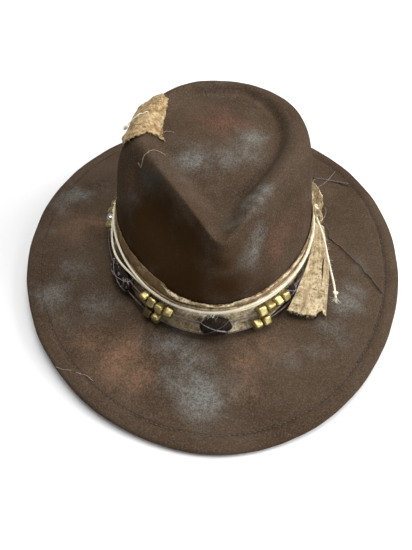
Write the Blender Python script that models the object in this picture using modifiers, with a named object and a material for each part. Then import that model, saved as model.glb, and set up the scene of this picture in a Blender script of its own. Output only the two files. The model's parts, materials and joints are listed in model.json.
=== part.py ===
"""A wide-brimmed felt hat with a pinched teardrop crown and a tied, beaded hat band.

The hat stands on the front and back of its brim. The origin is on the table plane under the middle of the
head opening, +Z is up, the front of the hat faces -Y and the wearer's left is +X.

The felt is one skin. A ring angle of 0 is at +X and -90 degrees is the front. Heights above the brim break
(the line where brim meets crown) are called "rise". Everything is in metres.
"""

import math

import bmesh
import bpy
from mathutils import Matrix, Vector

# Driving dimensions
HEAD_HALF_WIDTH = 0.0860  # outside of the felt at the brim break
HEAD_HALF_LENGTH = 0.1028
BRIM_HALF_WIDTH = 0.1640
BRIM_HALF_LENGTH = 0.1940
FELT = 0.0020
BREAK_RADIUS = 0.0070  # the bend between crown wall and brim
BRIM_DIP = 0.0084  # how far the brim's front and back edges hang below the break
BRIM_LIFT = 0.0044  # how far its sides stand above the break
EGG = 0.09  # how much narrower the head opening is at the front than an ellipse
LOPSIDED = 0.10  # the pinch on the -X side is this much deeper than the one on +X
NOSE_SHIFT = 0.0110  # how far the pinched front leans towards +X, for a taper of 1

# The brim edge is folded under round a wire and stitched down
WIRE_RADIUS = 0.0006
BEND_INSIDE = 0.0012
BEND_OUTSIDE = FELT + BEND_INSIDE
FOLD_WIDTH = 0.0130
STITCH_INSET = FOLD_WIDTH - 0.0015
FOLD_GAP = 0.0006
REST_FLAT = 0.0004  # the felt pressed flat where the brim stands on the table
BREAK_Z = 2 * BEND_OUTSIDE + BRIM_DIP - REST_FLAT

# Trim
GAP = 0.0004  # the least room between two pieces that touch on the real hat
CLOTH = 0.0009
BAND_FOOT = 0.0040  # how far the cloth's lower edge runs out on the brim
BAND_HIGH = 0.0360
CORD_RADIUS = 0.0009
CORD_RISE = 0.0245
CORD_SPACING = 0.0023
CORD_PARTING = 0.0022  # how much further apart the two turns run on the -X side
STRAND_RADIUS = 0.0004
STRAND_RISE = {"upper": 0.0165, "lower": 0.0066}
LOWER_STRAND_OUT = 0.0030  # how much further out the lower strand runs
BEAD_SIDE = 0.0074
BEAD_ROUNDING = 0.0014
BEAD_BORE = 0.0011
BEAD_REACH = (BEAD_SIDE / 2 - BEAD_ROUNDING) * math.sqrt(2) + BEAD_ROUNDING  # swept radius when a bead spins
STITCH_RADIUS = 0.00025
WRAP_RADIUS = 0.0003
WRAP_SIDES = 20

SEGMENTS = 48  # round the hat

# One row per ring of the crown: rise, half width, front reach, back reach, taper (how far the front of the
# section is pinched to a point), squareness of the back, and how much lower the ring is at the front.
CROWN = (
    (BREAK_RADIUS, HEAD_HALF_WIDTH, HEAD_HALF_LENGTH, HEAD_HALF_LENGTH, EGG, 1.00, 0.0000),
    (0.0300, 0.0845, 0.1020, 0.1016, 0.11, 1.00, 0.0000),
    (0.0530, 0.0815, 0.1002, 0.1003, 0.34, 0.97, 0.0020),
    (0.0740, 0.0775, 0.0978, 0.0985, 0.62, 0.92, 0.0070),
    (0.0885, 0.0725, 0.0962, 0.0955, 0.69, 0.88, 0.0120),
    (0.0990, 0.0652, 0.0950, 0.0890, 0.71, 0.85, 0.0150),
    (0.1035, 0.0565, 0.0930, 0.0805, 0.70, 0.82, 0.0160),
    (0.1005, 0.0505, 0.0865, 0.0745, 0.71, 0.82, 0.0160),
    (0.0960, 0.0450, 0.0780, 0.0690, 0.72, 0.84, 0.0150),
    (0.0972, 0.0350, 0.0600, 0.0560, 0.66, 0.92, 0.0110),
    (0.0990, 0.0190, 0.0320, 0.0330, 0.45, 1.00, 0.0050),
)
CROWN_CENTRE_RISE = 0.0995
BEND_TURNS = (90, 60, 30)

# Strings of brass beads: strand, first ring angle in degrees, how many, spacing
BEAD_GROUPS = (
    ("upper", -126.3, 4, 0.0081),
    ("lower", -122.3, 2, 0.0080),
    ("upper", -62.0, 4, 0.0079),
    ("lower", -65.0, 2, 0.0079),
    ("upper", 172.0, 4, 0.0090),
)
# Dark beads bound on with thread: name, strands, ring angle in degrees, half sizes along the band, up and out
WRAPPED_BEADS = (
    ("front", ("upper", "lower"), -86.3, 0.0120, 0.0085, 0.0042),
    ("left", ("upper", "lower"), -143.5, 0.0145, 0.0078, 0.0045),
    ("right", ("upper",), -42.8, 0.0045, 0.0034, 0.0030),
)
KNOT_ANGLE = 7.0
THREAD_BACK_ANGLE = 50.0


def collection(name):
    made = bpy.data.collections.new(name)
    bpy.context.scene.collection.children.link(made)
    return made


def material(name, colour, roughness, metallic=0.0):
    made = bpy.data.materials.new(name)
    made.use_nodes = True
    shader = made.node_tree.nodes["Principled BSDF"]
    shader.inputs["Base Color"].default_value = (*colour, 1.0)
    shader.inputs["Roughness"].default_value = roughness
    shader.inputs["Metallic"].default_value = metallic
    return made


# ---------------------------------------------------------------- the shape of the felt


def section(angle, half_width, front, back, taper, squareness):
    """A point of an egg-to-teardrop outline: x and y at a ring angle in radians."""
    c, s = math.cos(angle), math.sin(angle)
    toward_front = max(0.0, -s) ** 1.15
    toward_back = max(0.0, s)
    power = 1.0 + (squareness - 1.0) * min(1.0, 3.0 * toward_back + 0.4)
    pinch = 1.0 - taper * (1.0 - LOPSIDED * c) * toward_front
    x = half_width * math.copysign(abs(c) ** power, c) * pinch + NOSE_SHIFT * taper * toward_front
    y = (back - front) / 2 + (back + front) / 2 * s
    return x, y


def crown_ring(row, angle, outward=0.0):
    """A point on one ring of the crown, moved outward from the felt by a distance."""
    rise, half_width, front, back, taper, squareness, drop = row
    x, y = section(angle, half_width + outward, front + outward, back + outward, taper, squareness)
    toward_front = max(0.0, -math.sin(angle)) ** 2
    return Vector((x, y, BREAK_Z + rise - drop * toward_front))


def wall_row(rise):
    """The crown's ring measurements at a rise on the wall, between the rows of CROWN."""
    for low, high in zip(CROWN, CROWN[1:]):
        if rise <= high[0]:
            share = max(0.0, (rise - low[0]) / (high[0] - low[0]))
            return tuple(a + (b - a) * share for a, b in zip(low, high))
    return CROWN[-1]


def bend_point(angle, turn, outward):
    """A point on the bend: turn is 0 degrees where it meets the wall and 90 where it meets the brim."""
    radius = BREAK_RADIUS - outward
    rise = BREAK_RADIUS - radius * math.sin(math.radians(turn))
    flare = BREAK_RADIUS - radius * math.cos(math.radians(turn))
    return crown_ring((rise, *CROWN[0][1:]), angle, flare)


def wall_point(angle, rise, outward):
    """A point at a rise above the bend and a distance outside the crown wall."""
    return crown_ring((rise, *wall_row(rise)[1:]), angle, outward)


def brim_point(angle, share, above=0.0):
    """A point on the brim's upper face: share 0 is at the break and 1 at the edge."""
    inner = section(angle, *CROWN[0][1:6])
    c, s = math.cos(angle), math.sin(angle)
    x = inner[0] + (BRIM_HALF_WIDTH * c - inner[0]) * share
    y = inner[1] + (BRIM_HALF_LENGTH * s - inner[1]) * share
    fall = math.sin(math.pi / 2 * share) ** 2
    rise = BRIM_LIFT * c * c * share**1.8 - BRIM_DIP * s * s * fall
    return Vector((x, y, BREAK_Z + rise + above))


def brim_width(angle):
    return (brim_point(angle, 1.0) - brim_point(angle, 0.0)).to_2d().length


def brim_share_at(angle, inset):
    """The share at which the brim is a distance inside its edge."""
    return 1.0 - inset / brim_width(angle)


def brim_inside_edge(angle, inset, down):
    """A point a distance inside the brim's edge and below its upper face, kept above the table."""
    point = brim_point(angle, brim_share_at(angle, inset), -down)
    point.z = max(0.0, point.z)
    return point


def ring_angles(count=SEGMENTS):
    return [2 * math.pi * i / count for i in range(count)]


def ring(point_at):
    return [point_at(angle) for angle in ring_angles()]


def felt_rings():
    """Rings of the felt's outer face, from the raw edge of the fold under the brim to the crown's middle."""
    rings = []
    fold_thickness = 2 * FELT + FOLD_GAP
    for inset, down in ((FOLD_WIDTH, fold_thickness), (0.0105, fold_thickness), (0.0085, 2 * BEND_OUTSIDE)):
        rings.append(ring(lambda a, i=inset, d=down: brim_inside_edge(a, i, d)))
    for turn in (180, 140, 90, 40, 0):
        inset = BEND_OUTSIDE * (1 - math.sin(math.radians(turn)))
        down = BEND_OUTSIDE * (1 - math.cos(math.radians(turn)))
        rings.append(ring(lambda a, i=inset, d=down: brim_inside_edge(a, i, d)))
    rings.append(ring(lambda a: brim_inside_edge(a, STITCH_INSET, 0.0)))
    for share in (0.68, 0.45, 0.25, 0.14):
        rings.append(ring(lambda a, q=share: brim_point(a, q)))
    for turn in BEND_TURNS:
        rings.append(ring(lambda a, t=turn: bend_point(a, t, 0.0)))
    for row in CROWN:
        rings.append(ring(lambda a, r=row: crown_ring(r, a)))
    return rings


# ---------------------------------------------------------------- building solids


def new_object(name, mesh, where, finish, smooth=True):
    made = bpy.data.objects.new(name, mesh)
    where.objects.link(made)
    if hasattr(mesh, "materials"):
        mesh.materials.append(finish)
    if smooth and isinstance(mesh, bpy.types.Mesh):
        mesh.shade_smooth()
    return made


def loft(name, sections, around=False, capped=True, tip=None):
    """Joins closed sections of equal point count.

    around joins the last section to the first, and tip closes the end to a point.
    """
    mesh = bpy.data.meshes.new(name)
    shape = bmesh.new()
    rows = [[shape.verts.new(p) for p in points] for points in sections]
    count = len(rows[0])
    pairs = list(zip(rows, rows[1:]))
    if around:
        pairs.append((rows[-1], rows[0]))
    for low, high in pairs:
        for i in range(count):
            j = (i + 1) % count
            shape.faces.new((low[i], low[j], high[j], high[i]))
    if tip is not None:
        top = shape.verts.new(tip)
        for i in range(count):
            shape.faces.new((rows[-1][i], rows[-1][(i + 1) % count], top))
    elif capped and not around:
        shape.faces.new(reversed(rows[0]))
        shape.faces.new(rows[-1])
    bmesh.ops.recalc_face_normals(shape, faces=shape.faces)
    shape.to_mesh(mesh)
    shape.free()
    return mesh


def thread(name, points, radius, where, finish, cyclic=False, roundness=1):
    """A round cord along points, as a poly curve with a bevel."""
    curve = bpy.data.curves.new(name, "CURVE")
    curve.dimensions = "3D"
    curve.bevel_depth = radius
    curve.bevel_resolution = roundness
    curve.use_fill_caps = not cyclic
    spline = curve.splines.new("POLY")
    spline.points.add(len(points) - 1)
    for place, point in zip(spline.points, points):
        place.co = (*point, 1.0)
    spline.use_cyclic_u = cyclic
    curve.materials.append(finish)
    made = bpy.data.objects.new(name, curve)
    where.objects.link(made)
    return made


def lump(name, centre, axes, size, where, finish, segments=12, rings=8):
    """A rounded solid: a sphere scaled to size along three axes."""
    mesh = bpy.data.meshes.new(name)
    shape = bmesh.new()
    bmesh.ops.create_uvsphere(shape, u_segments=segments, v_segments=rings, radius=1.0)
    bmesh.ops.scale(shape, vec=size, verts=shape.verts)
    shape.to_mesh(mesh)
    shape.free()
    made = new_object(name, mesh, where, finish)
    made.matrix_world = Matrix.Translation(centre) @ axes.to_4x4()
    return made


def cutter_rod(name, start, end, radius, where):
    """A hidden cylinder between two points, for cutting a bore."""
    mesh = bpy.data.meshes.new(name)
    shape = bmesh.new()
    length = (end - start).length
    bmesh.ops.create_cone(
        shape, cap_ends=True, segments=10, radius1=radius, radius2=radius, depth=length
    )
    shape.to_mesh(mesh)
    shape.free()
    made = bpy.data.objects.new(name, mesh)
    where.objects.link(made)
    turn = (end - start).to_track_quat("Z", "Y")
    made.matrix_world = Matrix.Translation((start + end) / 2) @ turn.to_matrix().to_4x4()
    made.hide_render = True
    made.display_type = "WIRE"
    return made


def bore(body, cutter):
    cut = body.modifiers.new("bore", "BOOLEAN")
    cut.operation = "DIFFERENCE"
    cut.object = cutter


# ---------------------------------------------------------------- felt and brim edge


def build_felt(where, finish):
    tip = Vector((0.0, (CROWN[-1][3] - CROWN[-1][2]) / 2, BREAK_Z + CROWN_CENTRE_RISE))
    felt = new_object("felt_body", loft("felt_body", felt_rings(), capped=False, tip=tip), where, finish)
    skin = felt.modifiers.new("thickness", "SOLIDIFY")
    skin.thickness = FELT
    skin.offset = -1.0
    return felt


def build_brim_edge(where, steel, sewing):
    wire_depth = FELT + BEND_INSIDE
    wire = ring(lambda a: brim_inside_edge(a, BEND_OUTSIDE, 0.0) + Vector((0, 0, -wire_depth)))
    thread("brim_wire", wire, WIRE_RADIUS, where, steel, cyclic=True)
    above = STITCH_RADIUS + GAP
    top = ring(lambda a: brim_point(a, brim_share_at(a, STITCH_INSET), above))
    thread("brim_stitching_top", top, STITCH_RADIUS, where, sewing, cyclic=True, roundness=0)
    below = 2 * FELT + FOLD_GAP + STITCH_RADIUS + GAP
    bottom = ring(lambda a: brim_point(a, brim_share_at(a, STITCH_INSET), -below))
    thread("brim_stitching_underside", bottom, STITCH_RADIUS, where, sewing, cyclic=True, roundness=0)


# ---------------------------------------------------------------- sweatband inside the crown


SWEATBAND = 0.0008
SWEATBAND_INSET = FELT + 0.0010
SWEATBAND_LOW = 0.0020
SWEATBAND_HIGH = 0.0340
SWEATBAND_FLARE = 0.0006


def sweatband_section(angle):
    """The closed outline of the sweatband at one ring angle."""
    outer = -SWEATBAND_INSET
    inner = outer - SWEATBAND
    low = wall_row(SWEATBAND_HIGH)
    points = []
    for rise, outward in (
        (SWEATBAND_LOW, outer),
        (SWEATBAND_HIGH, outer),
        (SWEATBAND_HIGH, inner),
        (SWEATBAND_LOW, inner),
    ):
        row = (rise, *low[1:6], 0.0)
        points.append(crown_ring(row, angle, outward))
    return points


def build_sweatband(where, leather, sewing, ribbon):
    sections = [sweatband_section(a) for a in ring_angles()]
    new_object("sweatband", loft("sweatband", sections, around=True), where, leather)
    row = wall_row(SWEATBAND_HIGH)

    def inside(rise, outward):
        return ring(lambda a: crown_ring((rise, *row[1:6], 0.0), a, outward))

    reed_radius = 0.0007
    reed = inside(SWEATBAND_LOW - reed_radius - 0.0003, -SWEATBAND_INSET - SWEATBAND / 2)
    thread("sweatband_reed", reed, reed_radius, where, leather, cyclic=True)
    seam_outward = -SWEATBAND_INSET - SWEATBAND - STITCH_RADIUS - 0.0003
    seam = inside(SWEATBAND_LOW + 0.0025, seam_outward)
    thread("sweatband_stitching", seam, STITCH_RADIUS, where, sewing, cyclic=True, roundness=0)
    build_bow(where, ribbon, crown_ring((SWEATBAND_LOW + 0.012, *row[1:6], 0.0), math.pi / 2, seam_outward))


def build_bow(where, ribbon, seat):
    """A flat ribbon bow over the sweatband's back seam: two loops pinched at a knot."""
    thickness = 0.0008
    sections = []
    for step in range(-6, 7):
        share = step / 6
        half_height = 0.0016 + 0.0034 * abs(math.sin(share * math.pi * 0.62))
        x = 0.013 * share
        curve_in = 0.0013 + x * x / (2 * HEAD_HALF_WIDTH)
        y = seat.y - curve_in
        sections.append(
            [
                Vector((x, y, seat.z - half_height)),
                Vector((x, y - thickness, seat.z - half_height)),
                Vector((x, y - thickness, seat.z + half_height)),
                Vector((x, y, seat.z + half_height)),
            ]
        )
    new_object("sweatband_bow", loft("sweatband_bow", sections), where, ribbon)


# ---------------------------------------------------------------- cloth, cord and thread of the hat band


def band_top(angle):
    """The torn upper edge of the cloth band, which dips and rises round the crown."""
    return BAND_HIGH + 0.0025 * math.sin(2 * angle + 0.6) + 0.0012 * math.sin(5 * angle)


def band_section(angle):
    """The closed outline of the cloth band at one ring angle: a foot on the brim, the bend, then the wall."""
    foot = (BREAK_RADIUS + BAND_FOOT) / brim_width(angle)
    rises = (BREAK_RADIUS, CORD_RISE, CROWN[1][0], band_top(angle))
    sides = []
    for lift in (GAP, GAP + CLOTH):
        side = [brim_point(angle, foot, lift)]
        side += [bend_point(angle, turn, lift) for turn in BEND_TURNS]
        side += [wall_point(angle, rise, lift) for rise in rises]
        sides.append(side)
    return sides[0] + sides[1][::-1]


def on_band(angle, rise, out):
    """A point a distance outside the cloth band's outer face."""
    return wall_point(angle, rise, GAP + CLOTH + out)


def build_cloth_band(where, cloth):
    sections = [band_section(a) for a in ring_angles()]
    new_object("cloth_band", loft("cloth_band", sections, around=True), where, cloth)


def cord_out():
    return 2 * GAP + CORD_RADIUS


def build_cord(where, cord):
    """One cream cord, wound twice round the band from the knot and back to it."""
    turns = 2
    first = math.radians(KNOT_ANGLE + 6)
    last = math.radians(KNOT_ANGLE - 6) + turns * 2 * math.pi
    steps = turns * SEGMENTS
    points = []
    for i in range(steps + 1):
        angle = first + (last - first) * i / steps
        climb = (angle - first) / (last - first)
        blend = min(1.0, max(0.0, (climb - 0.47) / 0.06))
        spread = CORD_SPACING + CORD_PARTING * max(0.0, -math.cos(angle)) ** 3
        rise = CORD_RISE + (blend - 0.5) * spread
        points.append(on_band(angle, rise, cord_out()))
    thread("cream_cord", points, CORD_RADIUS, where, cord)


def strand_out(which):
    """How far a strand stands off the cloth: a bead's swept radius, and more on the lower one."""
    return GAP + BEAD_REACH + (LOWER_STRAND_OUT if which == "lower" else 0.0)


def strand_point(which, angle):
    out = GAP + CLOTH + strand_out(which)
    rise = STRAND_RISE[which]
    return crown_ring((rise, *wall_row(rise)[1:]), angle, out)


def strand_axis(which, angle):
    step = 0.01
    ahead = strand_point(which, angle + step)
    behind = strand_point(which, angle - step)
    return (ahead - behind).normalized()


def build_strands(where, dark):
    for which in ("upper", "lower"):
        first = math.radians(KNOT_ANGLE + 7)
        last = math.radians(KNOT_ANGLE - 7) + 2 * math.pi
        points = []
        for i in range(SEGMENTS + 1):
            points.append(strand_point(which, first + (last - first) * i / SEGMENTS))
        thread(f"bead_thread_{which}", points, STRAND_RADIUS, where, dark)


def bead_places():
    """Name, strand and ring angle of every brass bead."""
    places = []
    for which, first, count, spacing in BEAD_GROUPS:
        angle = math.radians(first)
        for _ in range(count):
            places.append((f"brass_bead_{len(places) + 1:02d}", which, angle))
            step = 0.01
            here = strand_point(which, angle)
            speed = (strand_point(which, angle + step) - here).length / step
            angle += spacing / speed
    return places


def bead_mesh(brass, cutters):
    """A rounded brass cube with a bore along its own X, as one mesh that all the beads share."""
    mesh = bpy.data.meshes.new("brass_bead")
    shape = bmesh.new()
    bmesh.ops.create_cube(shape, size=BEAD_SIDE)
    bmesh.ops.bevel(
        shape, geom=shape.edges[:], offset=BEAD_ROUNDING, segments=2, profile=0.5, affect="EDGES"
    )
    shape.to_mesh(mesh)
    shape.free()
    blank = bpy.data.objects.new("bead_blank", mesh)
    cutters.objects.link(blank)
    blank.hide_render = True
    half = Vector((BEAD_SIDE, 0, 0))
    bore(blank, cutter_rod("bead_drill", -half, half, BEAD_BORE, cutters))
    bpy.context.view_layer.update()
    cut = bpy.data.meshes.new_from_object(blank.evaluated_get(bpy.context.evaluated_depsgraph_get()))
    cut.materials.append(brass)
    bpy.data.objects.remove(blank)
    return cut


def build_beads(where, cutters, brass):
    shared = bead_mesh(brass, cutters)
    for number, (name, which, angle) in enumerate(bead_places()):
        bead = bpy.data.objects.new(name, shared)
        where.objects.link(bead)
        along = strand_axis(which, angle)
        place = strand_point(which, angle)
        roll = math.radians(37 * number % 90)
        turn = along.to_track_quat("X", "Z").to_matrix().to_4x4()
        bead.matrix_world = Matrix.Translation(place) @ turn @ Matrix.Rotation(roll, 4, "X")


def wrapped_frame(strands, angle):
    """The middle of the strands that a wrapped bead sits on, and its axes: along the band, up, outward."""
    along = strand_axis("upper", angle)
    lower = strand_point("lower", angle)
    upper = strand_point("upper", angle)
    centre = upper if len(strands) == 1 else (upper + lower) / 2
    out = along.cross(upper - lower).normalized()
    return centre, Matrix((along, out.cross(along), out)).transposed()


def build_wrapped_beads(where, cutters, dark, sewing):
    for name, strands, degrees, half_length, half_height, half_depth in WRAPPED_BEADS:
        angle = math.radians(degrees)
        centre, axes = wrapped_frame(strands, angle)
        size = (half_length, half_height, half_depth)
        body = lump(f"wrapped_bead_{name}", centre, axes, size, where, dark, segments=16, rings=10)
        for which in strands:
            middle = strand_point(which, angle)
            reach = strand_axis(which, angle) * (half_length + 0.002)
            rod = cutter_rod(f"drill_{name}_{which}", middle - reach, middle + reach, 0.0014, cutters)
            bore(body, rod)
        points = []
        for i in range(WRAP_SIDES):
            turn = 2 * math.pi * i / WRAP_SIDES
            height = (half_height + WRAP_RADIUS + GAP) * math.cos(turn)
            depth = (half_depth + WRAP_RADIUS + GAP) * math.sin(turn)
            points.append(centre + axes @ Vector((0.0, height, depth)))
        thread(f"wrap_thread_{name}", points, WRAP_RADIUS, where, sewing, cyclic=True)


# ---------------------------------------------------------------- knots and tails


def frame_at(angle):
    """Axes on the band at a ring angle: along the band, up, outward."""
    along = (on_band(angle + 0.01, CORD_RISE, 0.0) - on_band(angle - 0.01, CORD_RISE, 0.0)).normalized()
    out = along.cross(Vector((0, 0, 1))).normalized()
    return Matrix((along, Vector((0, 0, 1)), out)).transposed()


# Half sizes of the knots along the band, up and out
CLOTH_KNOT_HALF = Vector((0.0060, 0.0075, 0.0045))
CLOTH_KNOT_RISE = 0.0125
CLOTH_KNOT_OUT = 0.0085
CORD_KNOT_HALF = Vector((0.0026, 0.0024, 0.0022))
THREAD_KNOT_HALF = Vector((0.0020, 0.0020, 0.0018))


def build_knots(where, cloth, cord, dark):
    """The knots of the cloth, the cord and the bead thread, each seated outside what it ties."""
    angle = math.radians(KNOT_ANGLE)
    axes = frame_at(angle)
    centre = on_band(angle, CLOTH_KNOT_RISE, CLOTH_KNOT_OUT)
    lump("cloth_knot", centre, axes, CLOTH_KNOT_HALF, where, cloth)
    seat = 2 * cord_out() + GAP + CORD_KNOT_HALF.z
    lump("cream_cord_knot", on_band(angle, CORD_RISE, seat), axes, CORD_KNOT_HALF, where, cord)
    back = math.radians(THREAD_BACK_ANGLE)
    seat = strand_out("upper") + STRAND_RADIUS + GAP + THREAD_KNOT_HALF.z
    place = on_band(back, STRAND_RISE["upper"], seat)
    lump("bead_thread_knot", place, frame_at(back), THREAD_KNOT_HALF, where, dark, segments=10, rings=6)


SHORT_END_STEPS = 6
SHORT_END_THICKNESS = 0.0022


def build_short_end(where, cloth):
    """The cloth's short end, folded back on itself and standing up behind the knot."""
    sections = []
    for step in range(SHORT_END_STEPS + 1):
        share = step / SHORT_END_STEPS
        angle = math.radians(KNOT_ANGLE + 6 + 10 * share)
        half = 0.0040 + 0.0040 * math.sin(math.pi * min(1.0, share * 1.1 + 0.05))
        inner = 0.0078 + 0.0050 * math.sin(math.pi / 2 * share)
        outer = inner + SHORT_END_THICKNESS
        middle = 0.0135 + 0.0130 * share
        sections.append(
            [
                on_band(angle, middle - half, inner),
                on_band(angle, middle - half, outer),
                on_band(angle, middle + half, outer),
                on_band(angle, middle + half, inner),
            ]
        )
    new_object("cloth_short_end", loft("cloth_short_end", sections), where, cloth)


def bezier(points, share):
    """A point on a quadratic or cubic Bezier curve."""
    points = [Vector(p) for p in points]
    while len(points) > 1:
        points = [a.lerp(b, share) for a, b in zip(points, points[1:])]
    return points[0]


# Control points above the brim break, from the knot to the free end
TAIL_INNER_EDGE = (
    (0.0900, -0.0036, 0.0205),
    (0.0872, -0.0300, 0.0215),
    (0.0815, -0.0590, 0.0220),
    (0.0610, -0.0885, 0.0045),
)
TAIL_OUTER_EDGE = (
    (0.0950, -0.0036, 0.0150),
    (0.0985, -0.0300, 0.0090),
    (0.1000, -0.0600, 0.0040),
    (0.0900, -0.0930, 0.0030),
)
CORD_TAIL = (
    (0.0935, -0.0040, 0.0255),
    (0.0975, -0.0300, 0.0240),
    (0.1030, -0.0500, 0.0140),
    (0.1010, -0.0720, 0.0048),
)
TAIL_THICKNESS = 0.0012
TAIL_STEPS = 8


def build_cloth_tail(where, cloth):
    """The cloth's long end: it widens from the knot, leans on the band and lies out over the brim."""
    sections = []
    for step in range(TAIL_STEPS + 1):
        inner = bezier(TAIL_INNER_EDGE, step / TAIL_STEPS) + Vector((0, 0, BREAK_Z))
        outer = bezier(TAIL_OUTER_EDGE, step / TAIL_STEPS) + Vector((0, 0, BREAK_Z))
        along = Vector((0, -1, 0))
        lift = along.cross(outer - inner).normalized() * TAIL_THICKNESS
        sections.append([inner, outer, outer + lift, inner + lift])
    new_object("cloth_tail", loft("cloth_tail", sections), where, cloth)


def build_cord_tail(where, cord):
    """The cream cord's hanging end."""
    steps = 14
    points = [bezier(CORD_TAIL, i / steps) + Vector((0, 0, BREAK_Z)) for i in range(steps + 1)]
    thread("cream_cord_tail", points, CORD_RADIUS, where, cord)


def hanging_thread(hang, start, end, bow, count, radius):
    """Points of a thread that drops from a point on the knot and then lies on the brim.

    start and end are a ring angle in degrees and a brim share, and bow bends the thread between them.
    """
    points = [hang]
    for i in range(count):
        step = i / (count - 1)
        angle = math.radians(start[0] + (end[0] - start[0]) * step)
        share = start[1] + (end[1] - start[1]) * step + bow * math.sin(math.pi * step)
        points.append(brim_point(angle, share, radius + 0.0006))
    landing = points[1]
    points.insert(1, Vector((landing.x, landing.y, hang.z)).lerp(hang, 0.35) - Vector((0, 0, 0.005)))
    return points


def build_thread_tails(where, dark):
    radius = 0.0005
    hang = on_band(math.radians(2.0), 0.0150, 0.0120)
    long_tail = hanging_thread(hang, (-2.0, 0.26), (-20.7, 0.84), -0.09, 12, radius)
    thread("bead_thread_tail_long", long_tail, radius, where, dark)
    hang = on_band(math.radians(THREAD_BACK_ANGLE - 3.0), STRAND_RISE["upper"], 0.0110)
    back_tail = hanging_thread(hang, (44.0, 0.25), (24.0, 0.82), 0.02, 10, radius)
    thread("bead_thread_tail_back", back_tail, radius, where, dark)


# ---------------------------------------------------------------- patch on the crown


PATCH_THICKNESS = 0.0008
PATCH_ROWS = 7
PATCH_RINGS = (3.3, 3.7, 4.0, 4.5, 5.0, 5.5, 6.0, 6.5, 7.0)
PATCH_FIRST_ANGLE = 180.0
PATCH_LAST_ANGLE = 135.0
PATCH_LIFT = 0.0008


def crown_between(level, angle, lift):
    """A point on the crown between two of its rings, lifted off the felt along the surface normal."""

    def at(where, turn):
        base = min(int(where), len(CROWN) - 2)
        low = crown_ring(CROWN[base], turn)
        high = crown_ring(CROWN[base + 1], turn)
        return low.lerp(high, where - base)

    point = at(level, angle)
    across = at(level, angle + 0.02) - at(level, angle - 0.02)
    upward = at(level + 0.15, angle) - at(level - 0.15, angle)
    normal = across.cross(upward).normalized()
    return point + normal * lift


def build_patch(where, cloth):
    """A torn scrap of cloth glued over the crown's rim on the -X side."""
    low, high = PATCH_LIFT, PATCH_LIFT + PATCH_THICKNESS
    sections = []
    for i in range(PATCH_ROWS):
        share = i / (PATCH_ROWS - 1)
        angle = math.radians(PATCH_FIRST_ANGLE + (PATCH_LAST_ANGLE - PATCH_FIRST_ANGLE) * share)
        under = [crown_between(level, angle, low) for level in PATCH_RINGS]
        over = [crown_between(level, angle, high) for level in PATCH_RINGS]
        sections.append(under + over[::-1])
    new_object("crown_patch", loft("crown_patch", sections), where, cloth)


def build_hat():
    for old in list(bpy.data.objects):
        bpy.data.objects.remove(old)
    hat = collection("felt_hat")
    cutters = collection("cutters")
    felt = material("felt_brown", (0.085, 0.060, 0.043), 0.95)
    steel = material("brim_wire_steel", (0.45, 0.45, 0.46), 0.35, 1.0)
    sewing = material("sewing_thread", (0.050, 0.038, 0.030), 0.8)
    leather = material("sweatband_leather", (0.090, 0.050, 0.028), 0.6)
    ribbon = material("bow_ribbon", (0.035, 0.026, 0.020), 0.7)
    cloth = material("torn_cloth", (0.42, 0.30, 0.17), 0.9)
    cord = material("cream_cord", (0.72, 0.64, 0.47), 0.85)
    dark = material("waxed_thread", (0.045, 0.033, 0.035), 0.5)
    brass = material("brass", (0.47, 0.36, 0.13), 0.38, 1.0)
    wood = material("dark_bead", (0.040, 0.022, 0.015), 0.55)
    build_felt(hat, felt)
    build_brim_edge(hat, steel, sewing)
    build_sweatband(hat, leather, sewing, ribbon)
    build_cloth_band(hat, cloth)
    build_cord(hat, cord)
    build_strands(hat, dark)
    build_beads(hat, cutters, brass)
    build_wrapped_beads(hat, cutters, wood, sewing)
    build_knots(hat, cloth, cord, dark)
    build_short_end(hat, cloth)
    build_cloth_tail(hat, cloth)
    build_cord_tail(hat, cord)
    build_thread_tails(hat, dark)
    build_patch(hat, cloth)


build_hat()
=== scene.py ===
import json
import math

import bpy
import numpy as np
from mathutils import Matrix, Vector
from mathutils.bvhtree import BVHTree


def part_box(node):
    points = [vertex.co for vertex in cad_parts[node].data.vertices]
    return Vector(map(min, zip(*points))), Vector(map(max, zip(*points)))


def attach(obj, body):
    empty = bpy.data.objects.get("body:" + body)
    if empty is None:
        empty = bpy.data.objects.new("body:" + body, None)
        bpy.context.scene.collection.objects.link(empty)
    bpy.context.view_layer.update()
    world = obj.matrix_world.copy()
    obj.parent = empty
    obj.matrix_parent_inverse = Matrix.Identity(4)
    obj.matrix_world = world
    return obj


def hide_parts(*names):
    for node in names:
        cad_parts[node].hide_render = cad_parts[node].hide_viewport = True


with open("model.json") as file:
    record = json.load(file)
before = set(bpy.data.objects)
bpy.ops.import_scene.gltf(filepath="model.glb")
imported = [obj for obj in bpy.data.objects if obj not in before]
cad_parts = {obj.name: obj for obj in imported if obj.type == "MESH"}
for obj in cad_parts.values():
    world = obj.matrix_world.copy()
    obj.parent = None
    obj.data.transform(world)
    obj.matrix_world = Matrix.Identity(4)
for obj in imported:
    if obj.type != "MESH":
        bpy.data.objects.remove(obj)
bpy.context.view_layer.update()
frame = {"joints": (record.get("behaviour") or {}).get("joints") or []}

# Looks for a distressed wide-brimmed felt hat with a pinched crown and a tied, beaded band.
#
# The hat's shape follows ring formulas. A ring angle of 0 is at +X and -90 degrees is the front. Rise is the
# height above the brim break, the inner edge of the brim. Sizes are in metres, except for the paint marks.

TAU = 2 * math.pi
ROUND_STEPS = 360  # points round the felt

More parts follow.
